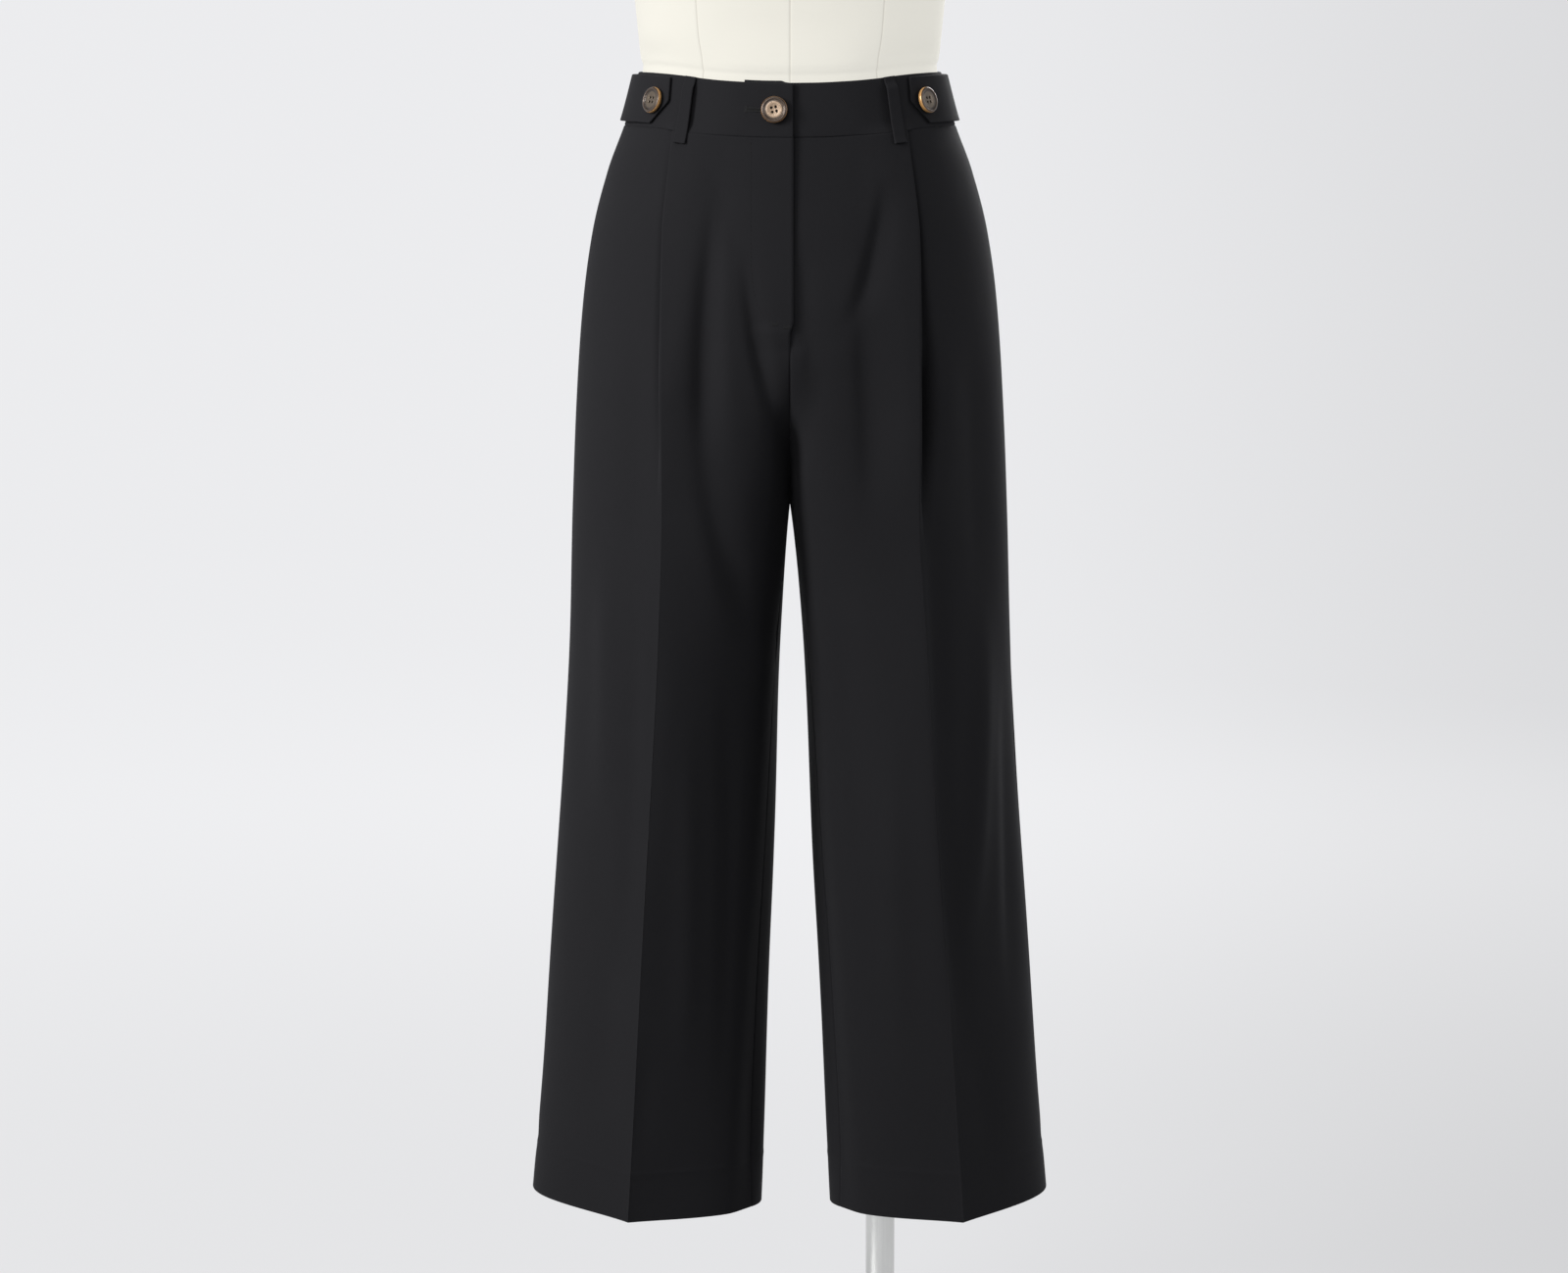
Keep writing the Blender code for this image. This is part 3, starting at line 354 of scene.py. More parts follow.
GIRTH = Table(
    ("z", "front_y", "crease_x", "crease_y", "side_x", "side_y",
     "back_crease_x", "back_crease_y", "back_y"),
    ((1092, -92.0, 83.0, -68.3, 121.2, 1.0, 78.0, 66.0, 86.0),
     (1044, -100.0, 91.2, -75.7, 134.4, 2.0, 85.0, 71.0, 94.0),
     (1010, -105.0, 95.0, -83.3, 148.3, 3.0, 88.0, 80.0, 103.0),
     (960, -111.0, 99.3, -92.0, 161.4, 4.0, 91.0, 91.0, 113.0),
     (900, -116.0, 100.2, -100.0, 169.6, 5.0, 95.0, 102.0, 119.0),
     (830, -116.0, 101.0, -105.5, 174.6, 6.5, 97.0, 107.0, 119.0),
     (742, -116.0, 102.5, -109.0, 178.6, 8.0, 98.0, 106.0, 119.0),
     (636, -116.0, 107.5, -110.0, 181.8, 9.0, 102.0, 100.0, 119.0),
     (521, -116.0, 114.6, -110.0, 188.3, 11.0, 108.0, 91.0, 119.0),
     (388, -116.0, 122.8, -109.0, 198.3, 13.0, 115.0, 81.0, 119.0),
     (255, -116.0, 131.0, -107.0, 207.6, 14.0, 121.0, 73.0, 119.0),
     (159, -116.0, 137.0, -105.0, 216.3, 15.0, 126.0, 67.0, 119.0)))
DRAPE = Table(
    ("z", "crease_in", "crease_out", "back_in", "back_out"),
    ((1092, 31.0, 33.0, 31.0, 33.0), (1044, 30.0, 32.0, 30.0, 32.0),
     (960, 20.0, 30.0, 20.0, 30.0), (900, 12.0, 29.0, 11.0, 30.0),
     (872, 8.0, 30.0, 7.0, 32.0), (845, 4.0, 32.0, 4.0, 34.0),
     (800, 0.0, 35.0, -2.0, 37.0), (742, -5.0, 39.0, -8.0, 40.0),
     (636, -9.0, 43.0, -12.0, 43.0), (521, -12.0, 47.0, -14.0, 45.0),
     (388, -15.0, 50.0, -16.0, 46.0), (159, -18.0, 52.0, -18.0, 47.0)))
SHOULDER = Table(
    ("z", "front_lead", "front_x", "front_y", "front_turn",
     "back_lead", "back_x", "back_y", "back_turn"),
    ((1092, 0, 40, -88.0, -13, 0, 38, 82.5, -12), (1044, 0, 44, -95.8, -12, 0, 42, 90.0, -11),
     (960, 0, 42, -109.0, -7, 0, 44, 109.5, -8), (900, 0, 36, -115.0, -3, 3, 40, 117.0, -3),
     (872, 4, 32, -115.5, 1, 10, 36, 117.5, 2), (845, 22, 27, -113.5, 10, 30, 30, 114.5, 12),
     (820, 42, 23, -109.8, 20, 48, 26, 110.0, 22), (800, 56, 21, -105.5, 28, 60, 24, 104.5, 30),
     (769, 74, 19, -98.0, 38, 78, 22, 95.0, 40), (742, 84, 20, -91.5, 45, 88, 22, 87.0, 46),
     (710, 87, 23, -85.0, 48, 90, 24, 79.5, 48), (672, 86, 27, -80.0, 47, 90, 28, 73.0, 47),
     (591, 80, 36, -76.0, 41, 90, 34, 66.0, 42), (460, 72, 46, -79.0, 36, 90, 42, 58.0, 36),
     (328, 64, 52, -80.0, 33, 90, 50, 48.0, 30), (195, 54, 56, -79.5, 32, 90, 56, 38.0, 26),
     (159, 50, 57, -79.0, 32, 90, 58, 35.0, 25)))
WAIST_CURVE = Table(
    ("around", "rise"),
    ((0, -4.2), (12, -4.0), (27, -2.9), (42, -0.9), (51, 1.1), (62, 2.7), (75, 3.5), (90, 3.7),
     (180, 4.2)))
INSIDE = Table(
    ("z", "inner_x", "inner_y", "inseam_x", "inseam_y", "sway"),
    ((742, 0.0, -2.0, 0.0, -12.0, 0.0), (720, 2.2, 8.0, 2.6, -14.0, 0.4),
     (672, 6.2, 13.0, 7.7, -18.0, 1.2), (591, 11.0, 9.0, 15.0, -25.0, 2.0),
     (460, 15.3, -4.0, 23.3, -36.0, 2.8), (328, 21.7, -15.0, 31.7, -45.0, 3.7),
     (195, 26.8, -28.0, 36.8, -53.0, 4.6), (159, 28.4, -33.0, 36.4, -55.0, 4.8)))
print("girth rows:", len(GIRTH.places), "heights", GIRTH.places.min(), "to", GIRTH.places.max())

# %% [markdown]
# A horizontal section of the trousers is a smooth line from the middle, or the inseam, over the
# crease to the side seam. Each stretch is a curve between two points that leaves and arrives at
# given angles, as a tailor's curve does. A line is read by its length, because cloth is measured
# along itself.

# %% Section lines
class Path:
    """A horizontal line through points, read by its length from the start."""

    def __init__(self, points):
        self.points = np.array(points)
        steps = np.linalg.norm(np.diff(self.points, axis=0), axis=1)
        self.lengths = np.concatenate([[0.0], np.cumsum(steps)])
        self.length = self.lengths[-1]

    def at(self, s):
        return np.stack([np.interp(s, self.lengths, self.points[:, axis]) for axis in (0, 1)], -1)

    def normal(self, s, reach=1.2):
        """Pointing to the right of the way the path runs."""
        ahead = (self.at(np.minimum(s + reach, self.length))
                 - self.at(np.maximum(np.asarray(s) - reach, 0.0)))
        ahead /= np.linalg.norm(ahead, axis=-1, keepdims=True)
        return np.stack([ahead[..., 1], -ahead[..., 0]], -1)


ARC_PULL = 0.95
ARC_STEPS = 48


def heading(angle, way):
    return np.array([math.cos(math.radians(angle)), way * math.sin(math.radians(angle))])


def arc(start, start_heading, end, end_heading):
    pull = ARC_PULL * np.linalg.norm(np.array(end) - np.array(start))
    t = np.linspace(0, 1, ARC_STEPS + 1)[:, None]
    return list(hermite(np.array(start), start_heading * pull, np.array(end), end_heading * pull, t))


quarter_turn = Path(arc((1.0, 0.0), heading(90, 1), (0.0, 1.0), heading(180, 1)))
print("a quarter turn drawn this way is", round(quarter_turn.length, 3), "radii long")

# %% [markdown]
# Front and back are drawn with the same few points at every height. Above the crotch a line
# starts at the middle of the body, and below it at the inseam. Near the crotch the middle line
# bends in between the legs, which is what makes trousers of two tubes.

# %% Front and back lines
def seam_turn(z, table_y, bend_z):
    if z >= bend_z:
        return table_y
    share = (z - CROTCH_Z) / (bend_z - CROTCH_Z)
    return CROTCH_Y + (table_y - CROTCH_Y) * math.sin(math.pi / 2 * share)


def leg_sway(z, hand):
    return INSIDE.at("sway", z) * hand if z < CROTCH_Z else 0.0


def spot(table, name, z, sway=0.0):
    """A point whose x and y stand in a table under one name."""
    return table.at(name + "_x", z) + sway, table.at(name + "_y", z)


@functools.cache
def front_paths(z, hand):
    """The front from the middle (or inseam) to its crease, and from there to the side seam."""
    sway = leg_sway(z, hand)
    crease, side = spot(GIRTH, "crease", z, sway), spot(GIRTH, "side", z)
    shoulder = spot(SHOULDER, "front", z, sway)
    if z > CROTCH_Z:
        start = (0.0, seam_turn(z, GIRTH.at("front_y", z), FRONT_BEND_Z))
    else:
        start = spot(INSIDE, "inseam", z, sway)
    turn = heading(SHOULDER.at("front_turn", z), -1)
    inner = arc(start, heading(SHOULDER.at("front_lead", z), -1), shoulder, turn)[:-1]
    inner += arc(shoulder, turn, crease, heading(DRAPE.at("crease_in", z), 1))
    outer = arc(crease, heading(DRAPE.at("crease_out", z), 1), side, np.array([0.0, 1.0]))
    return Path(inner), Path(outer)


@functools.cache
def back_paths(z, hand):
    """The back from the middle (or inseam) to its crease, and from there to the side seam."""
    sway = leg_sway(z, hand)
    crease, side = spot(GIRTH, "back_crease", z, sway), spot(GIRTH, "side", z)
    shoulder = spot(SHOULDER, "back", z, sway)
    lead = heading(SHOULDER.at("back_lead", z), 1)
    turn = heading(SHOULDER.at("back_turn", z), 1)
    points = []
    if z > CROTCH_Z:
        start = (0.0, seam_turn(z, GIRTH.at("back_y", z), BACK_BEND_Z))
    else:
        inseam, start = spot(INSIDE, "inseam", z, sway), spot(INSIDE, "inner", z, sway)
        points = arc(inseam, -heading(SHOULDER.at("front_lead", z), -1), start, lead)[:-1]
    inner = points + arc(start, lead, shoulder, turn)[:-1]
    inner += arc(shoulder, turn, crease, heading(DRAPE.at("back_in", z), -1))
    outer = arc(crease, heading(DRAPE.at("back_out", z), -1), side, np.array([0.0, -1.0]))
    return Path(inner), Path(outer)


@functools.cache
def half_girth(z):
    """The waist line from the middle front round the side to the middle back."""
    inner, outer = front_paths(z, LEFT)
    back_inner, back_outer = back_paths(z, LEFT)
    return Path(np.vstack([inner.points, outer.points[1:],
                           back_outer.points[-2::-1], back_inner.points[-2::-1]]))


def ease(t):
    t = np.clip(t, 0.0, 1.0)
    return t * t * (3 - 2 * t)


def ramp(z, start, height):
    return np.clip((z - start) / height, 0.0, 1.0)


def height_at(x, y, level):
    """At the waist a level follows the waist's curve, and at the hips it is flat."""
    rise = WAIST_CURVE.at("rise", np.degrees(np.arctan2(np.abs(x), -y)))
    return level + rise * ease((level - HIP_LEVEL_Z) / (WAIST_SEAM_Z - HIP_LEVEL_Z))


for z in (1086.5, 960.0, 830.0):
    print("girth at", z, "mm:", round(2 * half_girth(z).length))

# %% [markdown]
# Soft folds are low hills and valleys that run down the cloth. Each row is one fold: a curve
# through three points seen from the front, how wide it is at its ends, how far it stands out
# (or in, below zero), and how much steeper one of its sides is. The large ones are in the solids
# too; the rest are finer. None is repeated on the other leg, because cloth never hangs the same
# way twice. A cloth simulation would find folds of its own, but these are the ones that this pair
# hangs in, so they are listed one by one.

# %% Folds
FOLD_COLUMNS = ("x0", "z0", "x1", "z1", "x2", "z2", "width0", "width1", "depth", "lean")
FRONT_FOLDS = (
    # the wearer's right leg
    (-56, 1010, -70, 870, -65, 735, 9, 12, -5.2, 0.45),
    (-68, 810, -52, 705, -8, 600, 12, 15, -5.0, 0.35),
    (-30, 740, -26, 650, -26, 560, 9, 10, 2.0, 0.0),
    (-52, 990, -51, 880, -44, 770, 9, 12, 2.4, 0.0),
    (-37, 960, -25, 870, 6, 775, 7, 10, -4.4, 0.4),
    (-152, 730, -148, 610, -154, 460, 10, 13, 3.8, 0.0),
    (-124, 710, -127, 560, -136, 360, 9, 11, -2.2, 0.3),
    (-84, 600, -83, 450, -88, 240, 9, 11, 2.0, 0.0),
    (-52, 640, -50, 460, -56, 230, 9, 11, -2.6, 0.3),
    (-124, 930, -122, 800, -128, 640, 12, 16, -1.6, 0.3),
    (-16, 900, -12, 850, -6, 800, 6, 9, 1.2, 0.0),
    (-106, 700, -110, 560, -118, 420, 7, 9, -1.2, 0.0),
    (-142, 420, -152, 330, -160, 215, 13, 15, -1.3, 0.0),
    (-112, 330, -118, 260, -124, 190, 8, 10, -0.8, 0.0),
    # the wearer's left leg
    (75, 1015, 66, 945, 44, 880, 8, 10, -4.6, 0.45),
    (54, 935, 60, 830, 64, 715, 9, 13, -2.6, 0.4),
    (110, 770, 118, 620, 124, 500, 8, 9, -3.6, 0.35),
    (117, 600, 128, 450, 144, 270, 7, 10, -3.4, 0.4),
    (176, 640, 180, 480, 184, 310, 7, 9, -3.4, 0.3),
    (127, 900, 125, 800, 123, 690, 9, 12, 2.2, 0.0),
    (158, 680, 155, 530, 143, 360, 8, 11, 4.4, 0.0),
    (15, 970, 17, 905, 14, 830, 6, 8, -1.9, 0.3),
    (34, 720, 48, 560, 62, 380, 10, 14, -2.2, 0.3),
    (146, 900, 151, 770, 155, 640, 11, 14, -2.2, 0.3),
    (82, 600, 84, 440, 90, 260, 11, 13, 2.0, 0.0),
    (150, 330, 158, 260, 166, 185, 10, 12, -0.9, 0.0),
)
BACK_FOLDS = (
    # the wearer's right leg
    (-40, 800, -66, 690, -88, 560, 12, 15, -4.4, 0.3),
    (-152, 720, -156, 570, -164, 420, 11, 14, 3.4, 0.0),
    (-74, 870, -50, 815, -20, 775, 8, 11, -3.0, 0.2),
    (-116, 640, -118, 480, -126, 300, 9, 12, -2.4, 0.0),
    (-60, 960, -58, 880, -66, 790, 12, 15, 1.6, 0.0),
    (-62, 560, -66, 420, -74, 260, 10, 12, -2.0, 0.3),
    # the wearer's left leg
    (30, 800, 52, 690, 80, 570, 11, 14, -4.0, -0.3),
    (148, 780, 152, 630, 162, 460, 11, 14, 3.0, 0.0),
    (64, 910, 50, 855, 34, 800, 9, 11, -3.0, 0.0),
    (88, 830, 62, 770, 22, 735, 8, 11, -2.4, -0.2),
    (110, 600, 116, 440, 126, 270, 10, 13, -2.2, -0.3),
    (56, 580, 62, 430, 72, 270, 10, 13, -2.2, 0.0),
    (104, 970, 98, 880, 100, 780, 11, 14, -1.6, 0.0),
)
FOLD_FADE = 60.0
FOLD_ENDS = 2.6
RIPPLE_FADE = 60.0
RIPPLE_SEEDS = ((61.0, 210.0, 0.3), (37.0, 128.0, 2.1), (23.0, 71.0, 4.4), (15.0, 44.0, 1.2))


def fold_relief(folds, x, z):
    """How far the soft folds push the cloth out at this place."""
    total = np.zeros_like(x)
    for row in folds:
        fold = dict(zip(FOLD_COLUMNS, row))
        along = (fold["z0"] - z) / (fold["z0"] - fold["z2"])
        if not 0 < along < 1:
            continue
        bend = fold["x1"] - (fold["x0"] + fold["x2"]) / 2
        middle = fold["x0"] + (fold["x2"] - fold["x0"]) * along + 4 * bend * along * (1 - along)
        width = fold["width0"] + (fold["width1"] - fold["width0"]) * along
        across = (x - middle) / width
        across *= np.where(across < 0, 1 + fold["lean"], 1 - fold["lean"] / 2)
        total += fold["depth"] * np.exp(-across * across) * ease(FOLD_ENDS * min(along, 1 - along))
    return total


def ripples(x, z, seed):
    """A slight unevenness, so that no stretch of cloth is perfectly smooth."""
    total = np.zeros_like(x)
    for wide, tall, phase in RIPPLE_SEEDS:
        total += (wide / 61.0) * np.sin(x / wide * 2.4 + phase + seed
                                        + 1.3 * np.sin(z / tall + seed * 1.7)) * np.sin(
                                            z / tall * 2.1 + phase * 2 + seed * 0.6)
    return total * 0.16


print("folds:", len(FRONT_FOLDS), "in front,", len(BACK_FOLDS), "behind")

# %% [markdown]
# The pleat is cloth folded over itself: it turns through half a circle, runs back under the
# front and turns again. Sewn flat at the waist, it opens lower down and becomes the pressed
# crease. A dark line in the material would look flat from the side, so it is a true fold, given
# below as (along, out) points at each height. The cloth beside the opening pleat hangs back in a
# shallow well, which is why the pleat shows as a dark wedge. The fly laps over in the same way.

# %% Pleat and fly sizes
PLEAT_RADIUS = 0.75
PLEAT_SLOPE = 34.0
PLEAT_COLUMNS = ("z", "turn", "run", "lip", "well", "well_width")
PLEAT = {
    RIGHT: Table(PLEAT_COLUMNS, (
        (1092, 180.0, 11.0, 0.0, 0.0, 5), (1044, 180.0, 11.0, 0.0, 0.2, 5),
        (1000, 178.0, 11.0, 0.4, 1.4, 6), (950, 172.0, 9.5, 0.6, 2.2, 7),
        (900, 160.0, 7.5, 0.8, 2.6, 9), (850, 128.0, 5.0, 0.6, 2.2, 10),
        (815, 75.0, 3.8, 0.3, 1.2, 10), (780, 30.0, 4.5, 0.0, 0.4, 10),
        (735, 0.0, 6.0, 0.0, 0.0, 10), (159, 0.0, 6.0, 0.0, 0.0, 10))),
    LEFT: Table(PLEAT_COLUMNS, (
        (1092, 180.0, 11.0, 0.0, 0.0, 5), (1044, 180.0, 11.0, 0.2, 0.6, 5),
        (1000, 174.0, 11.0, 1.4, 2.8, 6), (950, 165.0, 10.0, 2.0, 4.2, 9),
        (900, 152.0, 7.5, 2.0, 5.6, 15), (850, 135.0, 5.0, 1.6, 11.0, 21),
        (815, 100.0, 4.0, 1.6, 11.0, 21), (780, 52.0, 4.6, 1.4, 6.5, 18),
        (740, 14.0, 5.5, 0.7, 1.8, 15), (700, 0.0, 6.0, 0.0, 0.0, 12),
        (159, 0.0, 6.0, 0.0, 0.0, 12))),
}
PLEAT_LEAD = 3.0
PLEAT_APPROACH = (0.3, 0.55, 0.75, 0.87, 0.95)
PLEAT_LIP_WIDTH = 15.0
WELL_FLOOR = 0.35
FLY_END_Z = 886.0
FLY_STEP = 8.0
FLY_RISE = 14.0
FLY_LAP = 2.4
FLY_UNDER = 10.0
FLY_TUCK = 1.5
FLY_LIFT_TOP = 4.2
FLY_LIFT_END = 2.3
FLY_FADE = 50.0
FLY_FACING = 0.9
FLY_FACING_WIDTH = 34.0
LAP_NARROWING = 0.9
LAP_LIFT = Table(("from_middle", "share"), ((0, 1.0), (40, 0.74), (84, 0.0)))
PLEAT_FLAT = 0.01        # a turn below this is no fold at all
PLEAT_TURN_STEPS = 6
PLEAT_RUN_STEPS = 5


def pleat_section(z, hand):
    """The pleat as (along, out) points from the fold's start, with the cloth's rise."""
    turn = math.radians(PLEAT[hand].at("turn", z))
    run = PLEAT[hand].at("run", z)
    if turn < PLEAT_FLAT:
        alongs = run * np.linspace(0, 1, 2 * PLEAT_TURN_STEPS + PLEAT_RUN_STEPS + 1)
        return np.stack([alongs, np.zeros(len(alongs))], -1), 0.0
    turns = np.arange(1, PLEAT_TURN_STEPS + 1) / PLEAT_TURN_STEPS
    points = [(0.0, 0.0)]
    points += [(PLEAT_RADIUS * math.sin(turn * share),
                -PLEAT_RADIUS * (1 - math.cos(turn * share))) for share in turns]
    corner = points[-1]
    points += [(corner[0] + run * share * math.cos(turn), corner[1] - run * share * math.sin(turn))
               for share in np.arange(1, PLEAT_RUN_STEPS + 1) / PLEAT_RUN_STEPS]
    corner = points[-1]
    centre = (corner[0] + PLEAT_RADIUS * math.sin(turn),
              corner[1] + PLEAT_RADIUS * math.cos(turn))
    points += [(centre[0] - PLEAT_RADIUS * math.sin(turn * (1 - share)),
                centre[1] - PLEAT_RADIUS * math.cos(turn * (1 - share))) for share in turns]
    points = np.array(points)
    rise = -points[-1, 1]
    points[:, 1] += rise
    return points, rise


def pleat_start(crease_length, section):
    """Where along the front its cloth begins to rise into the pleat's fold."""
    return crease_length + min(section[-1][0], 0.0) - PLEAT_RADIUS - PLEAT_LEAD


def lap_lift(x, z):
    """How far the wearer's right front and its waistband rise over the left."""
    up = ramp(z, FLY_END_Z, WAIST_SEAM_Z - FLY_END_Z)
    lift = FLY_LIFT_END + (FLY_LIFT_TOP - FLY_LIFT_END) * up
    narrowing = 1 + LAP_NARROWING * (1 - ramp(z, 960, WAIST_SEAM_Z - 960))
    return (lift * ramp(z, FLY_END_Z - FLY_RISE, FLY_RISE)
            * LAP_LIFT.at("share", np.maximum(x, 0.0) * narrowing))


def fly_shift(z, hand):
    """How far the front's edge passes the middle along the fly."""
    if hand == RIGHT:
        return (FLY_LAP + SEAM_GAP / 2) * ramp(z, FLY_END_Z, FLY_STEP)
    return FLY_UNDER * ramp(z, FLY_END_Z - FLY_RISE, FLY_RISE)


def fly_tuck(z, stations):
    """How far the wearer's left front sinks to pass under the end of the lap."""
    near_end = (ramp(z, FLY_END_Z - FLY_RISE - FLY_STEP / 2, FLY_STEP)
                * (1 - ramp(z, FLY_END_Z + FLY_RISE, FLY_RISE)))
    return FLY_TUCK * near_end * ease(1 - stations / FLY_FADE * 3)


section, rise = pleat_section(950.0, LEFT)
print("pleat section points:", len(section), "rise", round(float(rise), 2), "mm")

# %% [markdown]
# Every panel is a grid of points: rows at many heights, columns from the inner edge to the side
# seam. Rows and columns lie closer where the cloth turns sharply: at the seams, the pleat and the
# hem. The edges roll in a little, as cloth does where it is seamed, and the hem is a doubled fold.
# The form inside stands back from the cloth's outer face by the inset below.

# %% Edges and walls
FORM_INSET = Table(("z", "inset"), ((1101, 0.0), (1096, 0.9), (1092, 2.3), (1088.5, 2.85),
                                    (1044, 2.85), (1030, 3.6), (960, 5.0), (880, 6.5),
                                    (860, 9.0), (845, 13.0)))
FORM_CLEAR = 0.4
SEAM_GAP = 0.08
CLOTH_WALL = 0.8
HEM_WALL = 1.5
HEM_RADIUS = HEM_WALL / 2
HEM_FOLD_Z = HEM_Z + 40.0
RIM_LEAST = 0.12
EDGE_ROLL = 1.7
SEAM_DRAW = 14.0
EDGE_SINK = 0.95
EDGE_STEPS = np.array((0.0, 0.12, 0.35, 0.7, 1.1, 1.7, 2.6, 4.0))


PANEL_LEVELS = sorted(set(
    [HEM_Z + step for step in (0.0, 0.25, 0.55, 0.9, 1.5, 3.0, 6.0)]
    + list(np.linspace(168, 194, 6)) + list(np.linspace(197, 207, 11))
    + list(np.linspace(212, 700, 62)) + list(np.linspace(706, 738, 8))
    + [CROTCH_Z] + list(np.linspace(744, 870, 34))
    + list(np.linspace(873, 912, 27)) + list(np.linspace(916, 1036, 32))
    + [WAIST_SEAM_Z - SEAM_GAP / 2 - step for step in (4.5, 2.8, 1.8, 1.1, 0.6, 0.3, 0.1, 0.0)]))


def edge_roll(distance):
    """How far the outer face sinks this close to an edge."""
    return EDGE_SINK * np.clip(1 - distance / EDGE_ROLL, 0, 1) ** 2


def wall_at(z):
    return HEM_WALL + (CLOTH_WALL - HEM_WALL) * ease((z - HEM_FOLD_Z + 2) / 4)


def offset_line(line, ends, distance):
    """The line moved sideways, to the right of the way it runs, with mitred corners."""
    steps = np.diff(line, axis=0)
    steps /= np.linalg.norm(steps, axis=1)[:, None] + 1e-12
    sides = np.column_stack([steps[:, 1], -steps[:, 0]])
    before, after = np.vstack([sides[:1], sides]), np.vstack([sides, sides[-1:]])
    middle = before + after
    middle /= np.linalg.norm(middle, axis=1)[:, None] + 1e-12
    stretch = 1 / np.clip((middle * after).sum(axis=1), 0.8, 1.0)
    middle[0], middle[-1] = ends
    stretch[0] = stretch[-1] = 1.0
    return line + middle * (np.asarray(distance) * stretch)[:, None]


def to_seam(line, z, passed=0.0):
    """Draws the first few millimetres of a row to the middle seam, which lies in one plane."""
    if z > CROTCH_Z and passed == 0:
        away = np.linalg.norm(line - line[0], axis=1)
        line = line.copy()
        line[:, 0] += (SEAM_GAP / 2 - line[0, 0]) * np.clip(1 - away / SEAM_DRAW, 0, 1) ** 2
    return line


print("panel rows:", len(PANEL_LEVELS), "from", PANEL_LEVELS[0], "to", round(PANEL_LEVELS[-1], 2))

# %% [markdown]
# The hem is the cloth folded up inside. Below, its rounded edge, the faint ridge where the
# turned-up edge ends, and the puckers beside each seam. Folds and ripples die away at the hem and
# at the waist, where the cloth is held, and none of them may sink into the form.

# %% Hem, folds and form
def hem_fold(z):
    """How far this height is into the hem's rounded fold: 0 above it, 1 at its lowest."""
    return max(1 - (z - HEM_Z) / HEM_RADIUS, 0.0)


def level_roll(z):
    """The outer face sinks into the waist seam, and round the hem's fold."""
    return (edge_roll(WAIST_SEAM_Z - SEAM_GAP / 2 - z)
            + HEM_RADIUS * (1 - math.sqrt(max(1 - hem_fold(z) ** 2, 0.0))))


def rim_share(z):
    """How thick the wall is round the hem's fold, as a share of its full thickness."""
    return max(math.sqrt(max(1 - hem_fold(z) ** 2, 0.0)), RIM_LEAST)


def hem_relief(s, length, z, seed):
    """The turned-up edge shows as a faint ridge, and the seams pucker a little above it."""
    ridge = 0.28 * math.exp(-((z - HEM_FOLD_Z) / 2.2) ** 2)
    tuck = math.exp(-((z - HEM_FOLD_Z - 4) / 11) ** 2)
    near_seam = np.exp(-((length - s) / 13) ** 2) + np.exp(-(s / 11) ** 2)
    wave = 0.12 * np.sin(s / 21.0 + seed) * math.exp(-((z - HEM_FOLD_Z) / 18) ** 2)
    return ridge + wave - 0.75 * tuck * near_seam


def soft_relief(folds, x, z, seed):
    """Folds that fade out at the hem, and ripples that fade out at the waist."""
    return (fold_relief(folds, x, z) * ease((z - HEM_Z) / FOLD_FADE)
            + ripples(x, z, seed) * ease((WAIST_SEAM_Z - z) / RIPPLE_FADE))


def clear_of_form(outs, z):
    """No fold sinks into the form behind the cloth."""
    return np.maximum(outs, CLOTH_WALL + FORM_CLEAR - FORM_INSET.at("inset", z))


print("wall at the hem and above it:", wall_at(HEM_Z + 10), wall_at(HEM_Z + 100), "mm")

# %% [markdown]
# A front row runs from the middle, or the inseam, up over the folded pleat and on to the side
# seam. The pleat is part of the row, not a piece laid on it, so the cloth stays one sheet. A back
# row is simpler: it has only its pressed crease.

# %% Front and back rows
FRONT_COLUMNS = 44
FRONT_OUTER_COLUMNS = 46
BACK_COLUMNS = 46
BACK_OUTER_COLUMNS = 34
CREASE_STEPS = np.array((0.0, 0.35, 0.8, 1.5, 2.6, 4.2))


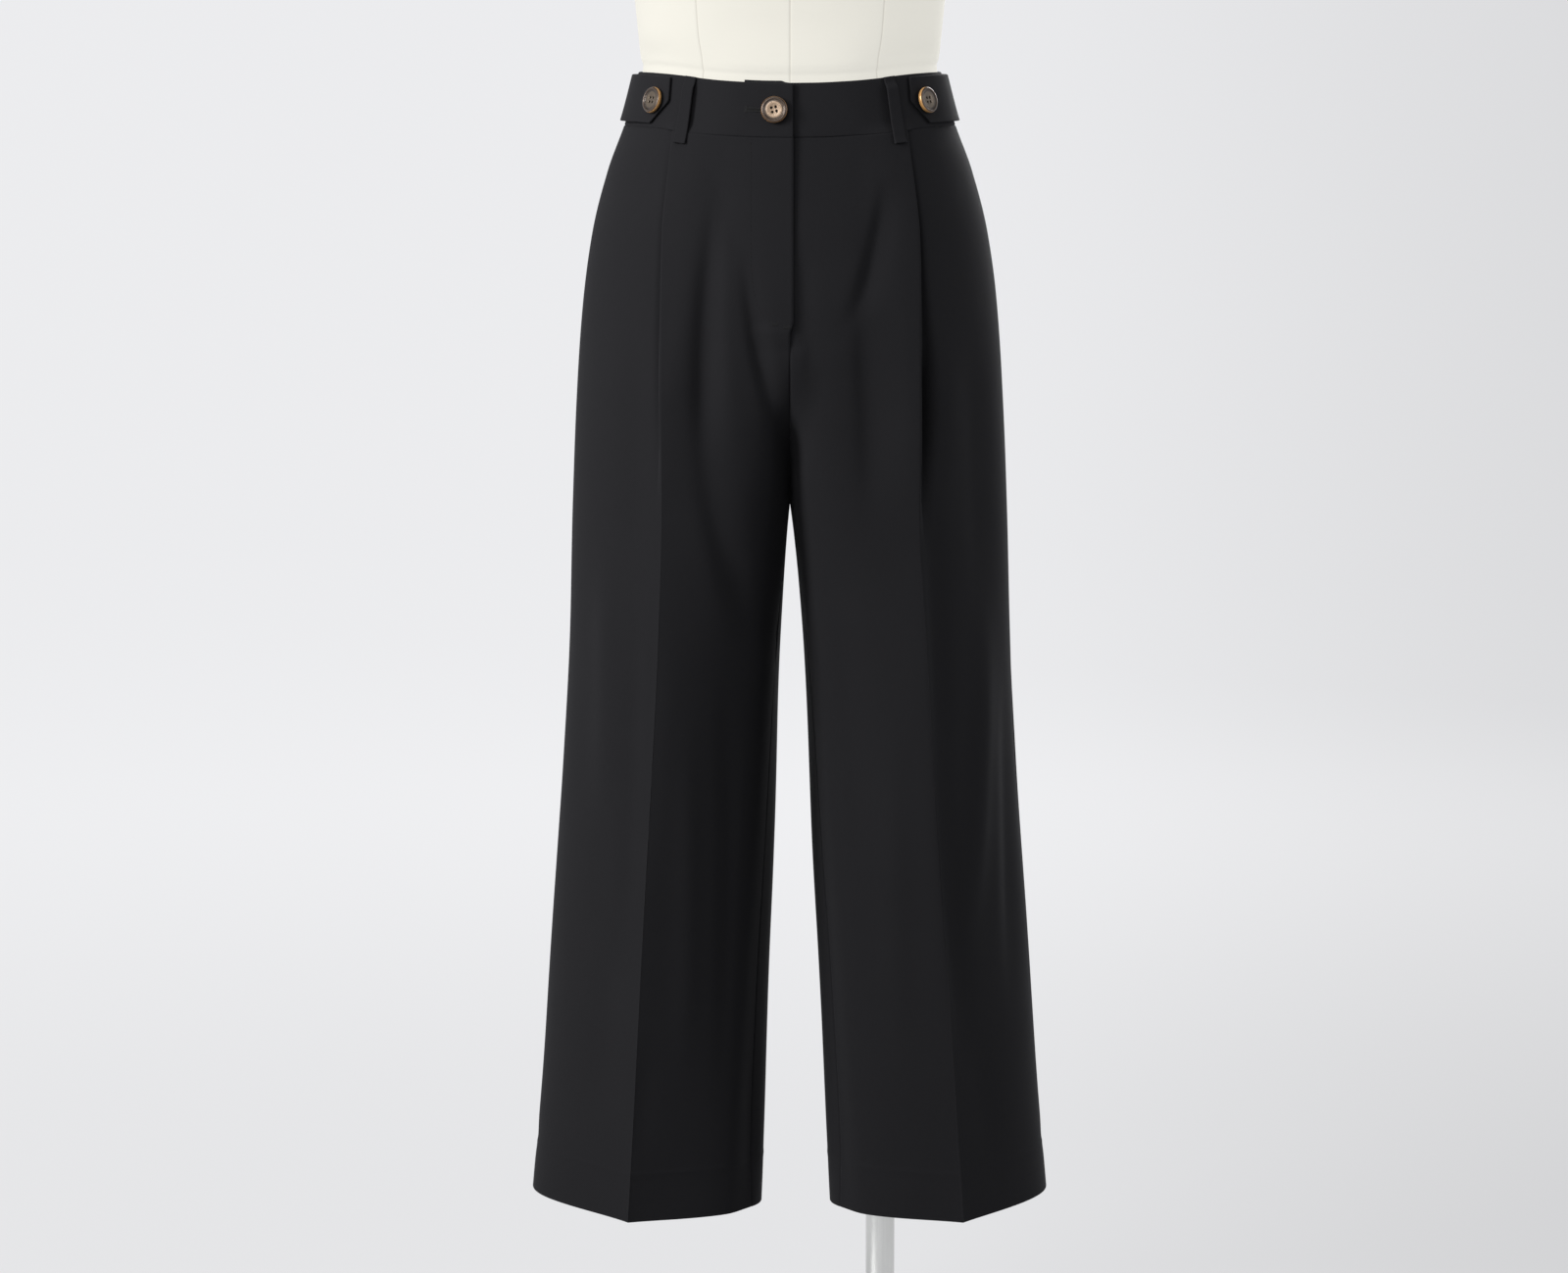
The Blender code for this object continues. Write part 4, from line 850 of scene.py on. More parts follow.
@functools.cache
def front_row(z, hand):
    """The front's outer face at one height, and its inner face."""
    inner, outer = front_paths(z, hand)
    whole = Path(np.vstack([inner.points, outer.points[1:]]))
    section, rise = pleat_section(z, hand)
    start, side = SEAM_GAP / 2, whole.length - SEAM_GAP / 2
    top_end, outer_start = pleat_start(inner.length, section), inner.length + section[-1][0]
    top = np.concatenate([start + EDGE_STEPS, np.linspace(
        start + EDGE_STEPS[-1], top_end, FRONT_COLUMNS - len(EDGE_STEPS) + 1)[1:]])
    near = top_end + (inner.length - top_end) * np.array(PLEAT_APPROACH)
    close_first = np.linspace(0, 1, FRONT_OUTER_COLUMNS - len(EDGE_STEPS) + 2)[1:-1] ** 1.5
    beyond = np.concatenate([
        outer_start + (side - EDGE_STEPS[-1] - outer_start) * close_first,
        side - EDGE_STEPS[::-1]])
    stations = np.concatenate([top, near, inner.length + section[:, 0], beyond])
    outs = np.concatenate([rise * ease(1 - (top_end - top) / PLEAT_SLOPE),
                           np.full(len(near), rise), section[:, 1], np.zeros(len(beyond))])
    under = np.concatenate([np.zeros(len(top) + len(near)), 1 - section[:, 1] / max(rise, 0.01),
                            np.ones(len(beyond))])
    past = np.maximum(stations - inner.length, 0.0) / PLEAT[hand].at("well_width", z)
    short = np.maximum(inner.length - stations, 0.0) / PLEAT_LIP_WIDTH
    outs -= (PLEAT[hand].at("well", z) * under
             * (1 - ease((past - WELL_FLOOR) / (1 - WELL_FLOOR))))
    outs += PLEAT[hand].at("lip", z) * (1 - under) * np.exp(-short * short)
    base = whole.at(stations)
    x = base[:, 0]
    outs += soft_relief(FRONT_FOLDS, hand * x, z, 1.0)
    outs += hem_relief(stations, whole.length, z, 1.0 + hand)
    outs = clear_of_form(outs, z)
    outs += lap_lift(x, z) if hand == RIGHT else -fly_tuck(z, stations)
    from_edge = np.where(np.arange(len(stations)) > len(top), whole.length - stations, stations)
    outs -= edge_roll(from_edge - SEAM_GAP / 2) + level_roll(z)
    wall = wall_at(z) * rim_share(z)
    if hand == RIGHT:
        wall = wall + (FLY_FACING * ramp(z, FLY_END_Z, FLY_STEP)
                       * ease(1 - stations / FLY_FACING_WIDTH))
    line = base + whole.normal(stations) * (outs - wall / 2)[:, None]
    line[:, 0] += SEAM_GAP / 2 - fly_shift(z, hand) * np.clip(1 - line[:, 0] / FLY_FADE, 0, 1)
    ends = (whole.normal(0.0), whole.normal(whole.length))
    return [to_seam(offset_line(line, ends, way * wall / 2), z, fly_shift(z, hand))
            for way in (1, -1)]


@functools.cache
def back_row(z, hand):
    """The back's outer face at one height, and its inner face."""
    inner, outer = back_paths(z, hand)
    whole = Path(np.vstack([inner.points, outer.points[1:]]))
    side, start = whole.length - SEAM_GAP / 2, SEAM_GAP / 2
    first = np.linspace(start + EDGE_STEPS[-1], inner.length - CREASE_STEPS[-1],
                        BACK_COLUMNS - len(EDGE_STEPS) + 1)[1:]
    last = np.linspace(inner.length + CREASE_STEPS[-1], side - EDGE_STEPS[-1],
                       BACK_OUTER_COLUMNS - len(EDGE_STEPS) + 1)[:-1]
    stations = np.concatenate([
        start + EDGE_STEPS, first, inner.length - CREASE_STEPS[-2:0:-1],
        inner.length + CREASE_STEPS[:-1], last, side - EDGE_STEPS[::-1]])
    base = whole.at(stations)
    outs = soft_relief(BACK_FOLDS, hand * base[:, 0], z, 5.0)
    outs += hem_relief(stations, whole.length, z, 3.0 + hand)
    outs = clear_of_form(outs, z)
    outs -= edge_roll(np.minimum(stations - start, side - stations)) + level_roll(z)
    wall = wall_at(z) * rim_share(z)
    line = base - whole.normal(stations) * (outs - wall / 2)[:, None]
    line[:, 0] += SEAM_GAP / 2
    ends = (whole.normal(0.0), whole.normal(whole.length))
    return [to_seam(offset_line(line, ends, way * wall / 2), z) for way in (-1, 1)]



front_points, back_points = len(front_row(500.0, RIGHT)[0]), len(back_row(500.0, RIGHT)[0])
print("points in a front row:", front_points, "and in a back row:", back_points)

# %% [markdown]
# Numbers become a mesh here. The outer and the inner face are joined round the rim into one thin
# closed shell; a Solidify modifier would do it too, but couldn't thicken the hem alone. The shell
# also gets flat coordinates, across the cloth and down it, in metres, so that the weave follows
# the panel and not the room.

# %% Building shells
def finish_piece(name, points, faces, material, uvs=None, smooth_angle=40.0):
    """A mesh object at the origin from points in mm, faces turned outwards."""
    mesh = bpy.data.meshes.new(name)
    mesh.from_pydata((np.asarray(points, float) * MM).tolist(), [], faces)
    if uvs is not None:
        layer = mesh.uv_layers.new(name="cut")
        loops = np.empty(len(mesh.loops), np.int32)
        mesh.loops.foreach_get("vertex_index", loops)
        layer.data.foreach_set("uv", (np.asarray(uvs, float) * MM)[loops].astype(np.float32).ravel())
    work = bmesh.new()
    work.from_mesh(mesh)
    bmesh.ops.recalc_face_normals(work, faces=work.faces)
    work.to_mesh(mesh)
    work.free()
    mesh.shade_smooth()
    mesh.set_sharp_from_angle(angle=math.radians(smooth_angle))
    mesh.materials.append(material)
    made = bpy.data.objects.new(name, mesh)
    bpy.context.scene.collection.objects.link(made)
    return made


def shell(name, outer, inner, material, smooth_angle=50.0):
    """A closed shell from two grids of points, rows of equal length."""
    outer, inner = np.asarray(outer), np.asarray(inner)
    rows, columns = outer.shape[:2]
    points = np.concatenate([outer.reshape(-1, 3), inner.reshape(-1, 3)])
    steps = np.linalg.norm(np.diff(outer, axis=1), axis=2)
    across = np.concatenate([np.zeros((rows, 1)), np.cumsum(steps, axis=1)], axis=1)
    across -= across[:, columns // 2:columns // 2 + 1]
    uvs = np.stack([across, outer[:, :, 2]], -1).reshape(-1, 2)
    index = np.arange(rows * columns).reshape(rows, columns)
    a, b, c, d = index[:-1, :-1], index[:-1, 1:], index[1:, 1:], index[1:, :-1]
    face = np.stack([a, b, c, d], -1).reshape(-1, 4)
    back = face[:, ::-1] + rows * columns
    rim = np.concatenate([index[0], index[1:, -1], index[-1, -2::-1], index[-2:0:-1, 0]])
    after = np.roll(rim, -1)
    sides = np.stack([rim, after, after + rows * columns, rim + rows * columns], -1)
    faces = np.concatenate([face, back, sides]).tolist()
    return finish_piece(name, points, faces, material, np.concatenate([uvs, uvs]), smooth_angle)


def circle(centre, radius, z, sides):
    return [(centre[0] + radius * math.cos(2 * math.pi * side / sides),
             centre[1] + radius * math.sin(2 * math.pi * side / sides), z)
            for side in range(sides)]


def ring_faces(rings, closed_loop=False):
    """Faces between neighbouring rings, each a list of point numbers. A ring may be one point."""
    faces = []
    for below, above in list(zip(rings, rings[1:])) + [(rings[-1], rings[0])] * closed_loop:
        for side in range(len(below)):
            after = (side + 1) % len(below)
            corners = [below[side], below[after], above[after], above[side]]
            faces.append(list(dict.fromkeys(corners)))
    return faces


def turned_piece(name, profile, centre, sides, material, closed_loop=False, smooth_angle=30.0):
    """A profile of (radius, height) pairs swept round an upright axis."""
    points, rings = [], []
    for radius, z in profile:
        if radius == 0:
            rings.append([len(points)] * sides)
            points.append((*centre, z))
        else:
            rings.append([len(points) + side for side in range(sides)])
            points += circle(centre, radius, z, sides)
    return finish_piece(name, points, ring_faces(rings, closed_loop), material, None, smooth_angle)


def dress(piece, slot, *nodes):
    """Rides on the one body and stands for its solids, which it hides. The slot is not used."""
    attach(piece, "root")
    if nodes:
        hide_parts(*nodes)
    return piece


def make_panel(name, row_at, hand):
    """A panel from its rows, drawn for the wearer's left and mirrored for the right."""
    outer, inner = [], []
    for level in PANEL_LEVELS:
        for grid, line in zip((outer, inner), row_at(level, hand)):
            x, y = line[:, 0], line[:, 1]
            grid.append(np.stack([hand * x, y, height_at(x, y, level)], -1))
    return shell(name, outer, inner, cloth.material)


print("ready to build shells and turned pieces")

# %% [markdown]
# Now the cloth itself: a front and a back for each leg, four sheets sewn at the side, the inseam
# and the middle. Nothing joins their meshes, because a real seam is a join too: their rolled edges
# meet and make its fine sunk line.

# %% The four panels
HAND_NAMES = {RIGHT: "right", LEFT: "left"}
for hand, hand_name in HAND_NAMES.items():
    for part, row_at in (("front", front_row), ("back", back_row)):
        panel = make_panel(f"cloth_{part}_{hand_name}", row_at, hand)
        dress(panel, "trouser_cloth", f"{part}_{hand_name}")
        print(panel.name, len(panel.data.polygons), "faces")

# %% [markdown]
# The waistband is stiff, doubled cloth with soft folded edges. A curve with a bevel could sweep
# it, but the band leans and swells with the body, so it is swept along the girth itself, a little
# thicker than the panels. Loops and tabs use the same sweep, with all four edges rounded.

# %% Waistband sweep
BAND_WALL = 2.4
BAND_EDGE = 1.05
BAND_LAP = 0.35
BULGE_FALL = 9.0
BULGE_HEIGHT = 9.0


def band_point(hand, share, level, out):
    """Points `out` beyond the band's outer face. Share is 0 at the middle front and 1 at the
    middle back; below 0 or over 1 it passes to the other hand."""
    share = np.atleast_1d(np.asarray(share, float))
    girth = half_girth(level)
    crossed = (share < 0) | (share > 1)
    inside = np.where(share < 0, -share, np.where(share > 1, 2 - share, share))
    s = inside * girth.length
    line = girth.at(s) + girth.normal(s) * np.broadcast_to(out, s.shape)[:, None]
    x, y = line[:, 0], line[:, 1]
    return np.stack([np.where(crossed, -hand * x, hand * x), y, height_at(x, y, level)], -1)


def share_of_length(length):
    return length / half_girth(BAND_MIDDLE_Z).length


def edge_drop(distance, radius):
    """How far a rounded edge falls away from the flat face, this far from its end."""
    inside = radius - np.clip(distance, 0, radius)
    return radius - np.sqrt(np.maximum(radius * radius - inside * inside, 0))


def edged(start, end, count, radius):
    """Places from start to end, with close steps over a rounded edge at both."""
    steps = np.array([0.0, 0.04, 0.15, 0.35, 0.65, 1.0]) * radius
    inner = np.linspace(start + steps[-1], end - steps[-1], count)[1:-1]
    return np.concatenate([start + steps, inner, end - steps[::-1]])


def strip(name, hand, ups, alongs_at, place):
    """A closed shell on the band. place(along, up) gives a share of the girth, a level, and how
    far out the outer and the inner face are there."""
    outer, inner = [], []
    for up in ups:
        spots = [place(along, up) for along in alongs_at(up)]
        outer.append([band_point(hand, share, level, out)[0] for share, level, out, _ in spots])
        inner.append([band_point(hand, share, level, low)[0] for share, level, _, low in spots])
    return shell(name, outer, inner, cloth.material, 60.0)


print("the band is", round(2 * half_girth(BAND_MIDDLE_Z).length), "mm round")

# %% [markdown]
# The band is in three pieces. The wearer's right end laps over the left, whose end reaches on
# under it and stands a little higher, so that it shows above the lap. Over each pleat the band
# swells, because twice the cloth is sewn in under it.

# %% The three bands
def pleat_bulge(share):
    """How far the front's top stands out at the waist seam, over its folded pleat."""
    s = min(abs(share), abs(2 - share)) * half_girth(WAIST_SEAM_Z).length
    section, rise = pleat_section(WAIST_SEAM_Z, LEFT)
    crease = front_paths(WAIST_SEAM_Z, LEFT)[0].length
    before = ease(1 - (pleat_start(crease, section) - s) / PLEAT_SLOPE)
    return float(rise * before * (1 - ease((s - crease - 1.0) / BULGE_FALL)))


def band_strip(name, hand, start, end, count, sag, lift=None, extra_top=None):
    """A length of the waistband between two shares of the girth."""
    girth_length = half_girth(BAND_MIDDLE_Z).length
    alongs = edged(start * girth_length, end * girth_length, count, BAND_EDGE)
    low = WAIST_SEAM_Z - BAND_LAP
    tall = WAIST_TOP_Z - low

    def place(s, up):
        share = s / girth_length
        level = low + up * (tall + (extra_top(share) if extra_top else 0.0)) / tall
        from_end = min(s - alongs[0], alongs[-1] - s)
        drop = max(edge_drop(from_end, BAND_EDGE), edge_drop(min(up, tall - up), BAND_EDGE))
        out = lift(share) if lift else 0.0
        out += sag * math.sin(math.pi * up / tall) * math.sin(s / 23.0 + hand)
        out += pleat_bulge(share) * max(1 - up / BULGE_HEIGHT, 0.0) ** 2
        return share, level, out - drop, out - BAND_WALL + drop

    return strip(name, hand, edged(0.0, tall, 14, BAND_EDGE), lambda up: alongs, place)


front_inner, front_outer = front_paths(WAIST_SEAM_Z, LEFT)
seam_length = half_girth(WAIST_SEAM_Z).length
side_share = (front_inner.length + front_outer.length) / seam_length
gap_share, lap_share, under_share, shown_share = (
    share_of_length(size) for size in (SEAM_GAP / 2, FLY_LAP, 38.0, 4.0))
bands = {
    "right": band_strip("band_right", RIGHT, -lap_share, side_share - gap_share, 56, 0.12,
                        lift=lambda share: lap_lift(share * seam_length, WAIST_SEAM_Z)),
    "left": band_strip("band_left", LEFT, -under_share, side_share - gap_share, 66, 0.15,
                       extra_top=lambda share: 1.6 * ease((-lap_share - share) / shown_share)),
    "back": band_strip("band_back", LEFT, side_share + gap_share, 2 - side_share - gap_share, 110,
                       0.2),
}
for which, band in bands.items():
    dress(band, "trouser_cloth", f"waistband_{which}")
    print(band.name, len(band.data.polygons), "faces")

# %% [markdown]
# A belt loop is a narrow strip sewn down at both ends, standing off between them so that a belt
# can pass. It follows the girth as the band does, and one function makes all three: only their
# places and how far they stand off at the foot differ.

# %% Belt loops
LOOP = dict(width=10.0, below=9.0, above=0.5, thick=1.9, stand_off=3.0, pad=5.0, bend=3.0,
            fold=0.7)
LOOP_TOP_X = 78.2
LOOP_LOW_X = 84.0
LOOP_REST = 0.45
LOOP_EDGE, LOOP_ROUND = 0.8, 0.75


def share_at(x, level):
    """The share of the girth at which the front of the band is x from the middle."""
    girth = half_girth(level)
    across = girth.points[:, 0]
    widest = int(np.argmax(across))
    return float(np.interp(x, across[:widest + 1], girth.lengths[:widest + 1])) / girth.length


def loop_strip(name, hand, top_share, low_share, foot):
    """A belt loop, foot mm off the band at its lower end and nearly on it at its upper end."""
    low = WAIST_SEAM_Z - LOOP["below"]
    length = WAIST_TOP_Z + LOOP["above"] - low
    over_seam = LOOP["below"] + 1.0
    stand = LOOP["stand_off"]
    bends = np.array([0.0, over_seam, over_seam + LOOP["bend"],
                      length - LOOP["pad"] - LOOP["bend"], length - LOOP["pad"], length])
    gaps = np.array([foot, foot, stand, stand, LOOP_REST, LOOP_REST])
    half = LOOP["width"] / 2

    def place(side, up):
        smooth = np.mean([np.interp(up + shift, bends, gaps) for shift in (-1.5, -0.7, 0, 0.7, 1.5)])
        gap = max(smooth, np.interp(up, bends, gaps) - 0.4)
        drop = edge_drop(min(half - abs(side), up, length - up), LOOP_ROUND)
        share = low_share + (top_share - low_share) * up / length + share_of_length(side)
        thick = LOOP["thick"] + LOOP["fold"] * ease(1 - up / 5.0)
        return share, low + up, gap + thick - drop, gap + drop

    return strip(name, hand, edged(0.0, length, 40, LOOP_EDGE),
                 lambda up: edged(-half, half, 9, LOOP_EDGE), place)


loop_top, loop_low = share_at(LOOP_TOP_X, WAIST_TOP_Z), share_at(LOOP_LOW_X, WAIST_SEAM_Z)
print("loop:", LOOP["width"], "mm wide, standing off", LOOP["stand_off"], "mm")

# %% [markdown]
# A side tab is a pointed strip that lies on the band from its button round to the back. Its tip
# is cut back, much more below than above, so every row of it starts at its own place. Between
# its two ends it stands off the band a little, as a tab does when it is pulled tight. Loops and
# tabs are then sewn on hand by hand, and the loop at the middle back comes last.

# %% Side tabs
TAB = dict(tip=102.0, tail=230.0, low=3.3, high=40.6, thick=2.0, upper_cut=3.0, lower_cut=16.0)
TAB_EDGE, TAB_ROUND = 0.9, 0.85
TAB_STAND_OFF = Table(("along", "gap"),
                      ((90, 0.9), (120, 0.9), (158, 3.0), (190, 2.6), (230, 0.35)))


def tab_strip(name, hand):
    """A side tab. Its tip is cut back towards both edges, so each row starts at its own place."""
    tall = TAB["high"] - TAB["low"]

    def start_at(up):
        return (TAB["tip"] + TAB["lower_cut"] * max(1 - 2 * up / tall, 0.0)
                + TAB["upper_cut"] * max(2 * up / tall - 1, 0.0))

    def place(g, up):
        gap = TAB_STAND_OFF.at("gap", g)
        drop = edge_drop(min(g - start_at(up), TAB["tail"] - g, up, tall - up), TAB_ROUND)
        level = WAIST_SEAM_Z + TAB["low"] + up
        return share_of_length(g), level, gap + TAB["thick"] - drop, gap + drop

    return strip(name, hand, edged(0.0, tall, 20, TAB_EDGE),
                 lambda up: edged(start_at(up), TAB["tail"], 60, TAB_EDGE), place)


def sew_on(piece, node):
    """Dresses a loop or tab and prints how many faces it has."""
    dress(piece, "trouser_cloth", node)
    print(piece.name, len(piece.data.polygons), "faces")


for hand, hand_name in HAND_NAMES.items():
    loop = loop_strip(f"loop_{hand_name}", hand, loop_top, loop_low, 4 * PLEAT_RADIUS + 0.4)
    sew_on(loop, f"belt_loop_{hand_name}")
    sew_on(tab_strip(f"tab_{hand_name}", hand), f"side_tab_{hand_name}")
back_loop = loop_strip("loop_back", LEFT, 1.0, 1.0, LOOP_REST)
sew_on(back_loop, "belt_loop_back")

# %% [markdown]
# A sew-through button is a turned disc: a raised rim, a groove, a dished middle and four bored
# holes. A lathe makes the real one, so its profile is swept round. The holes are cut with a
# Boolean, which is simpler than a mesh that runs round four holes, and the result is kept as a
# plain mesh. Dark thread fills the holes.

# %% Button blanks
HOLE_PITCH = 3.4
HOLE_PROFILE = ((1.0, -2.0), (1.0, 2.5), (1.35, 4.2))
THREAD_PROFILE = ((0.85, 0.2), (0.85, 1.7), (0.6, 2.1), (0.25, 2.25))
BUTTON_PROFILE = (
    (0.0, 0.0), (8.9, 0.0), (9.7, 0.35), (10.2, 0.9), (10.45, 1.7), (10.5, 2.5), (10.4, 3.2),
    (10.1, 3.8), (9.6, 4.18), (9.0, 4.3), (8.5, 4.22), (8.15, 3.95), (7.9, 3.55), (7.6, 3.35),
    (7.2, 3.3), (6.8, 3.38), (6.3, 3.5), (5.2, 3.44), (4.0, 3.3), (2.6, 3.16), (1.2, 3.08),
    (0.0, 3.06))
FRONT_BUTTON_G = 12.2
TAB_BUTTON_G = 117.0
BUTTON_GAP = 0.7
BUTTON_SIDES = 72


def four_plugs(name, spin, profile, sides, material):
    """The same closed plug at each of a button's four holes."""
    points, faces = [], []
    for corner in range(4):
        angle = math.radians(45 + 90 * corner + spin)
        centre = np.array([math.cos(angle), math.sin(angle)]) * HOLE_PITCH / math.sqrt(2)
        rings = []
        for radius, up in profile:
            rings.append([len(points) + side for side in range(sides)])
            points += circle(centre, radius, up, sides)
        faces += ring_faces(rings) + [rings[0], rings[-1]]
    return finish_piece(name, points, faces, material)


def evaluated(piece, *spare):
    """Keeps what the modifiers make as a plain mesh, and removes the pieces they used."""
    bpy.context.view_layer.update()
    graph = bpy.context.evaluated_depsgraph_get()
    result = bpy.data.meshes.new_from_object(piece.evaluated_get(graph))
    piece.modifiers.clear()
    piece.data = result
    for helper in spare:
        bpy.data.objects.remove(helper)
    return result


def make_button(name, spin, material):
    """A button at the origin, facing up, with its flat coordinates from its own middle."""
    button = turned_piece(name, BUTTON_PROFILE, (0.0, 0.0), BUTTON_SIDES, material,
                          smooth_angle=40.0)
    drill = four_plugs(name + "_drill", spin, HOLE_PROFILE, 20, material)
    cut = button.modifiers.new("holes", "BOOLEAN")
    cut.operation, cut.solver, cut.object = "DIFFERENCE", "EXACT", drill
    bored = evaluated(button, drill)
    layer = bored.uv_layers.new(name="cut")
    for corner in bored.loops:
        x, y, _ = bored.vertices[corner.vertex_index].co
        layer.data[corner.index].uv = (x, y)
    return button


print("button:", 2 * BUTTON_RADIUS, "mm across,", max(up for _, up in BUTTON_PROFILE), "mm high")

# %% [markdown]
# A button lies flat on the cloth under it, and its shank of thread keeps a small gap. Four places
# round it on the band give the way it faces, so it leans and turns as the band does. Each is
# sewn on with a slightly different turn.

# %% Buttons in place
def band_seat(hand, share, out_at):
    """A place halfway up the band and the frame of a button that sits there."""
    reach = BUTTON_RADIUS * 0.8
    step = share_of_length(reach)

    def place(along, up):
        return band_point(hand, share + along * step, BAND_MIDDLE_Z + up * reach,
                          out_at(share + along * step))[0]

    facing = np.cross(place(1, 0) - place(-1, 0), place(0, 1) - place(0, -1)) * hand
    facing /= np.linalg.norm(facing)
    sideways = np.cross((0, 0, 1), facing)
    sideways /= np.linalg.norm(sideways)
    seat = np.eye(4)
    seat[:3, 0], seat[:3, 1], seat[:3, 2] = sideways, np.cross(facing, sideways), facing
    seat[:3, 3] = place(0, 0) * MM
    return Matrix(seat)


seats = {"front": (band_seat(RIGHT, share_of_length(FRONT_BUTTON_G), lambda share:
                             lap_lift(share * seam_length, WAIST_SEAM_Z) + BUTTON_GAP), 13.0)}
on_tab = TAB_STAND_OFF.at("gap", TAB_BUTTON_G) + TAB["thick"] + BUTTON_GAP
for hand, hand_name in HAND_NAMES.items():
    seats[f"tab_{hand_name}"] = (band_seat(hand, share_of_length(TAB_BUTTON_G),
                                           lambda share: on_tab), 4.0 * hand)
for which, (seat, spin) in seats.items():
    # The tab buttons take the copy darkened as painted shade.
    tone = pale_horn if which == "front" else shaded_horn
    button = make_button(f"horn_button_{which}", spin, tone)
    threads = four_plugs(f"button_thread_{which}", spin, THREAD_PROFILE, 16, thread.material)
    for made in (button, threads):
        made.data.transform(seat)
    dress(button, "button_horn", f"button_{which}")
    dress(threads, "trouser_cloth")
    print("button", which, "at", [round(v, 4) for v in seat.translation])

# %% [markdown]
# The form is one smooth torso under a stretched cover. It could be sculpted, but rings at a few
# heights give its shape as a maker measures it, and a smooth curve through the same point of
# every ring fills the rest. Inside the trousers the rings are the cloth's own, moved in. Points
# lie close together at the seams: middle front, both breasts and sides, and the same behind.

# %% Form rings
FORM_ABOVE = (
    (1118, 122.5, 91.5, 86.0), (1148, 125.5, 95.0, 90.0), (1200, 133.0, 106.0, 98.0),
    (1250, 141.0, 119.0, 104.0), (1290, 147.0, 123.0, 108.0), (1335, 152.0, 112.0, 110.0),
    (1375, 161.0, 92.0, 106.0), (1405, 164.0, 76.0, 97.0), (1430, 150.0, 66.0, 86.0),
    (1450, 118.0, 58.0, 75.0), (1468, 82.0, 53.0, 66.0), (1488, 63.0, 50.0, 60.0),
    (1520, 57.0, 50.0, 56.0), (1552, 57.0, 51.0, 56.0))
FORM_BELOW = ((800, 132.0, 62.0, 54.0), (805, 142.0, 70.0, 61.0), (820, 155.0, 82.0, 77.0),
              (845, 163.0, 96.0, 95.0))
FORM_IN_TROUSERS = (880, 910, 945, 985, 1020, 1044, 1068, 1088.5, 1092, 1096, 1101)
FORM_ROUNDNESS = 2.25
SEAM_SHARES = (0.0, 0.1095, 0.25, 0.3905, 0.5, 0.6095, 0.75, 0.8905)
SEAM_STEPS = (-0.0040, -0.0022, -0.0011, -0.0004, 0.0, 0.0004, 0.0011, 0.0022, 0.0040)
SEAM_CLEAR = 0.0055      # no evenly spread place lies nearer to a seam than this
COVER_SEAM_DEPTH = 0.55
COVER_SEAM_WIDTH = 0.0011
COVER_SEAM_SHADE = 0.0007
FORM_COLUMNS = 168
FORM_LEVELS = ((862, 862, 1), (880, 1080, 18), (1087, 1103, 17), (1106, 1420, 74),
               (1424, 1500, 30), (1504, 1550, 12), (1551.2, 1552, 2))
FORM_END_LEVELS = (800, 801, 803, 805, 809, 815, 820, 830, 845)


def from_seams(turns):
    """The distance of each place round a ring to the nearest seam."""
    return np.min([np.abs((turns - seam + 0.5) % 1 - 0.5) for seam in SEAM_SHARES], axis=0)


def ring_turns():
    """Places round a ring, close together at each seam."""
    close = {round(share + step, 6) % 1.0 for share in SEAM_SHARES for step in SEAM_STEPS}
    even = np.arange(FORM_COLUMNS) / FORM_COLUMNS
    return np.array(sorted(close | set(even[from_seams(even) > SEAM_CLEAR])))


def whole_ring(turns, path_at, z_at):
    """A ring from its half, which runs from the middle front by the wearer's left to the back."""
    folded = np.where(turns > 0.5, 1 - turns, turns)
    line = path_at(folded * 2)
    x = np.where((folded < 1e-6) | (folded > 0.499999), 0.0, line[:, 0])
    return np.stack([np.where(turns > 0.5, -x, x), line[:, 1], z_at(line)], -1)


def oval_ring(turns, z, half_width, front, back):
    """Places round a body section, spread evenly by length from the middle front."""
    power = 2 / FORM_ROUNDNESS
    quarter = np.linspace(0, math.pi / 2, 400)
    across, deep = np.sin(quarter) ** power * half_width, np.cos(quarter) ** power
    side = Path(np.vstack([np.stack([across, -deep * front], -1),
                           np.stack([across, deep * back], -1)[-2::-1]]))
    return whole_ring(turns, lambda share: side.at(share * side.length),
                      lambda line: np.full(len(line), float(z)))


def garment_ring(turns, z):
    """Places round the inside of the trousers."""
    girth = half_girth(z)

    def path_at(share):
        s = share * girth.length
        return girth.at(s) - girth.normal(s) * FORM_INSET.at("inset", z)

    return whole_ring(turns, path_at, lambda line: height_at(line[:, 0], line[:, 1], z))


turns = ring_turns()
print("points round the form:", len(turns))

# %% [markdown]
# Between two rings the surface could be straight, as a barrel's is between its hoops, and that
# would show as bands in the light. The table's smooth reading between rows avoids it.

# %% Form surface
rings = {z: garment_ring(turns, float(z)) for z in FORM_IN_TROUSERS}
rings |= {row[0]: oval_ring(turns, *row) for row in FORM_BELOW + FORM_ABOVE}
columns = ["z"] + [f"{axis}{index}" for index in range(len(turns)) for axis in "xyz"]
ring_table = Table(columns, [(z, *ring.ravel()) for z, ring in rings.items()])
form_levels = np.unique(np.concatenate([FORM_END_LEVELS]
                                       + [np.linspace(*stretch) for stretch in FORM_LEVELS]))
form_grid = np.array([[ring_table.at(name, z) for name in columns[1:]] for z in form_levels])
form_grid = form_grid.reshape(len(form_levels), len(turns), 3)
print("form grid", form_grid.shape)

# %% [markdown]
# The grid of points becomes the cover. At every seam it sinks a little, and each point keeps how
# near it is to a seam as an attribute, which the finish reads to draw the darker line.

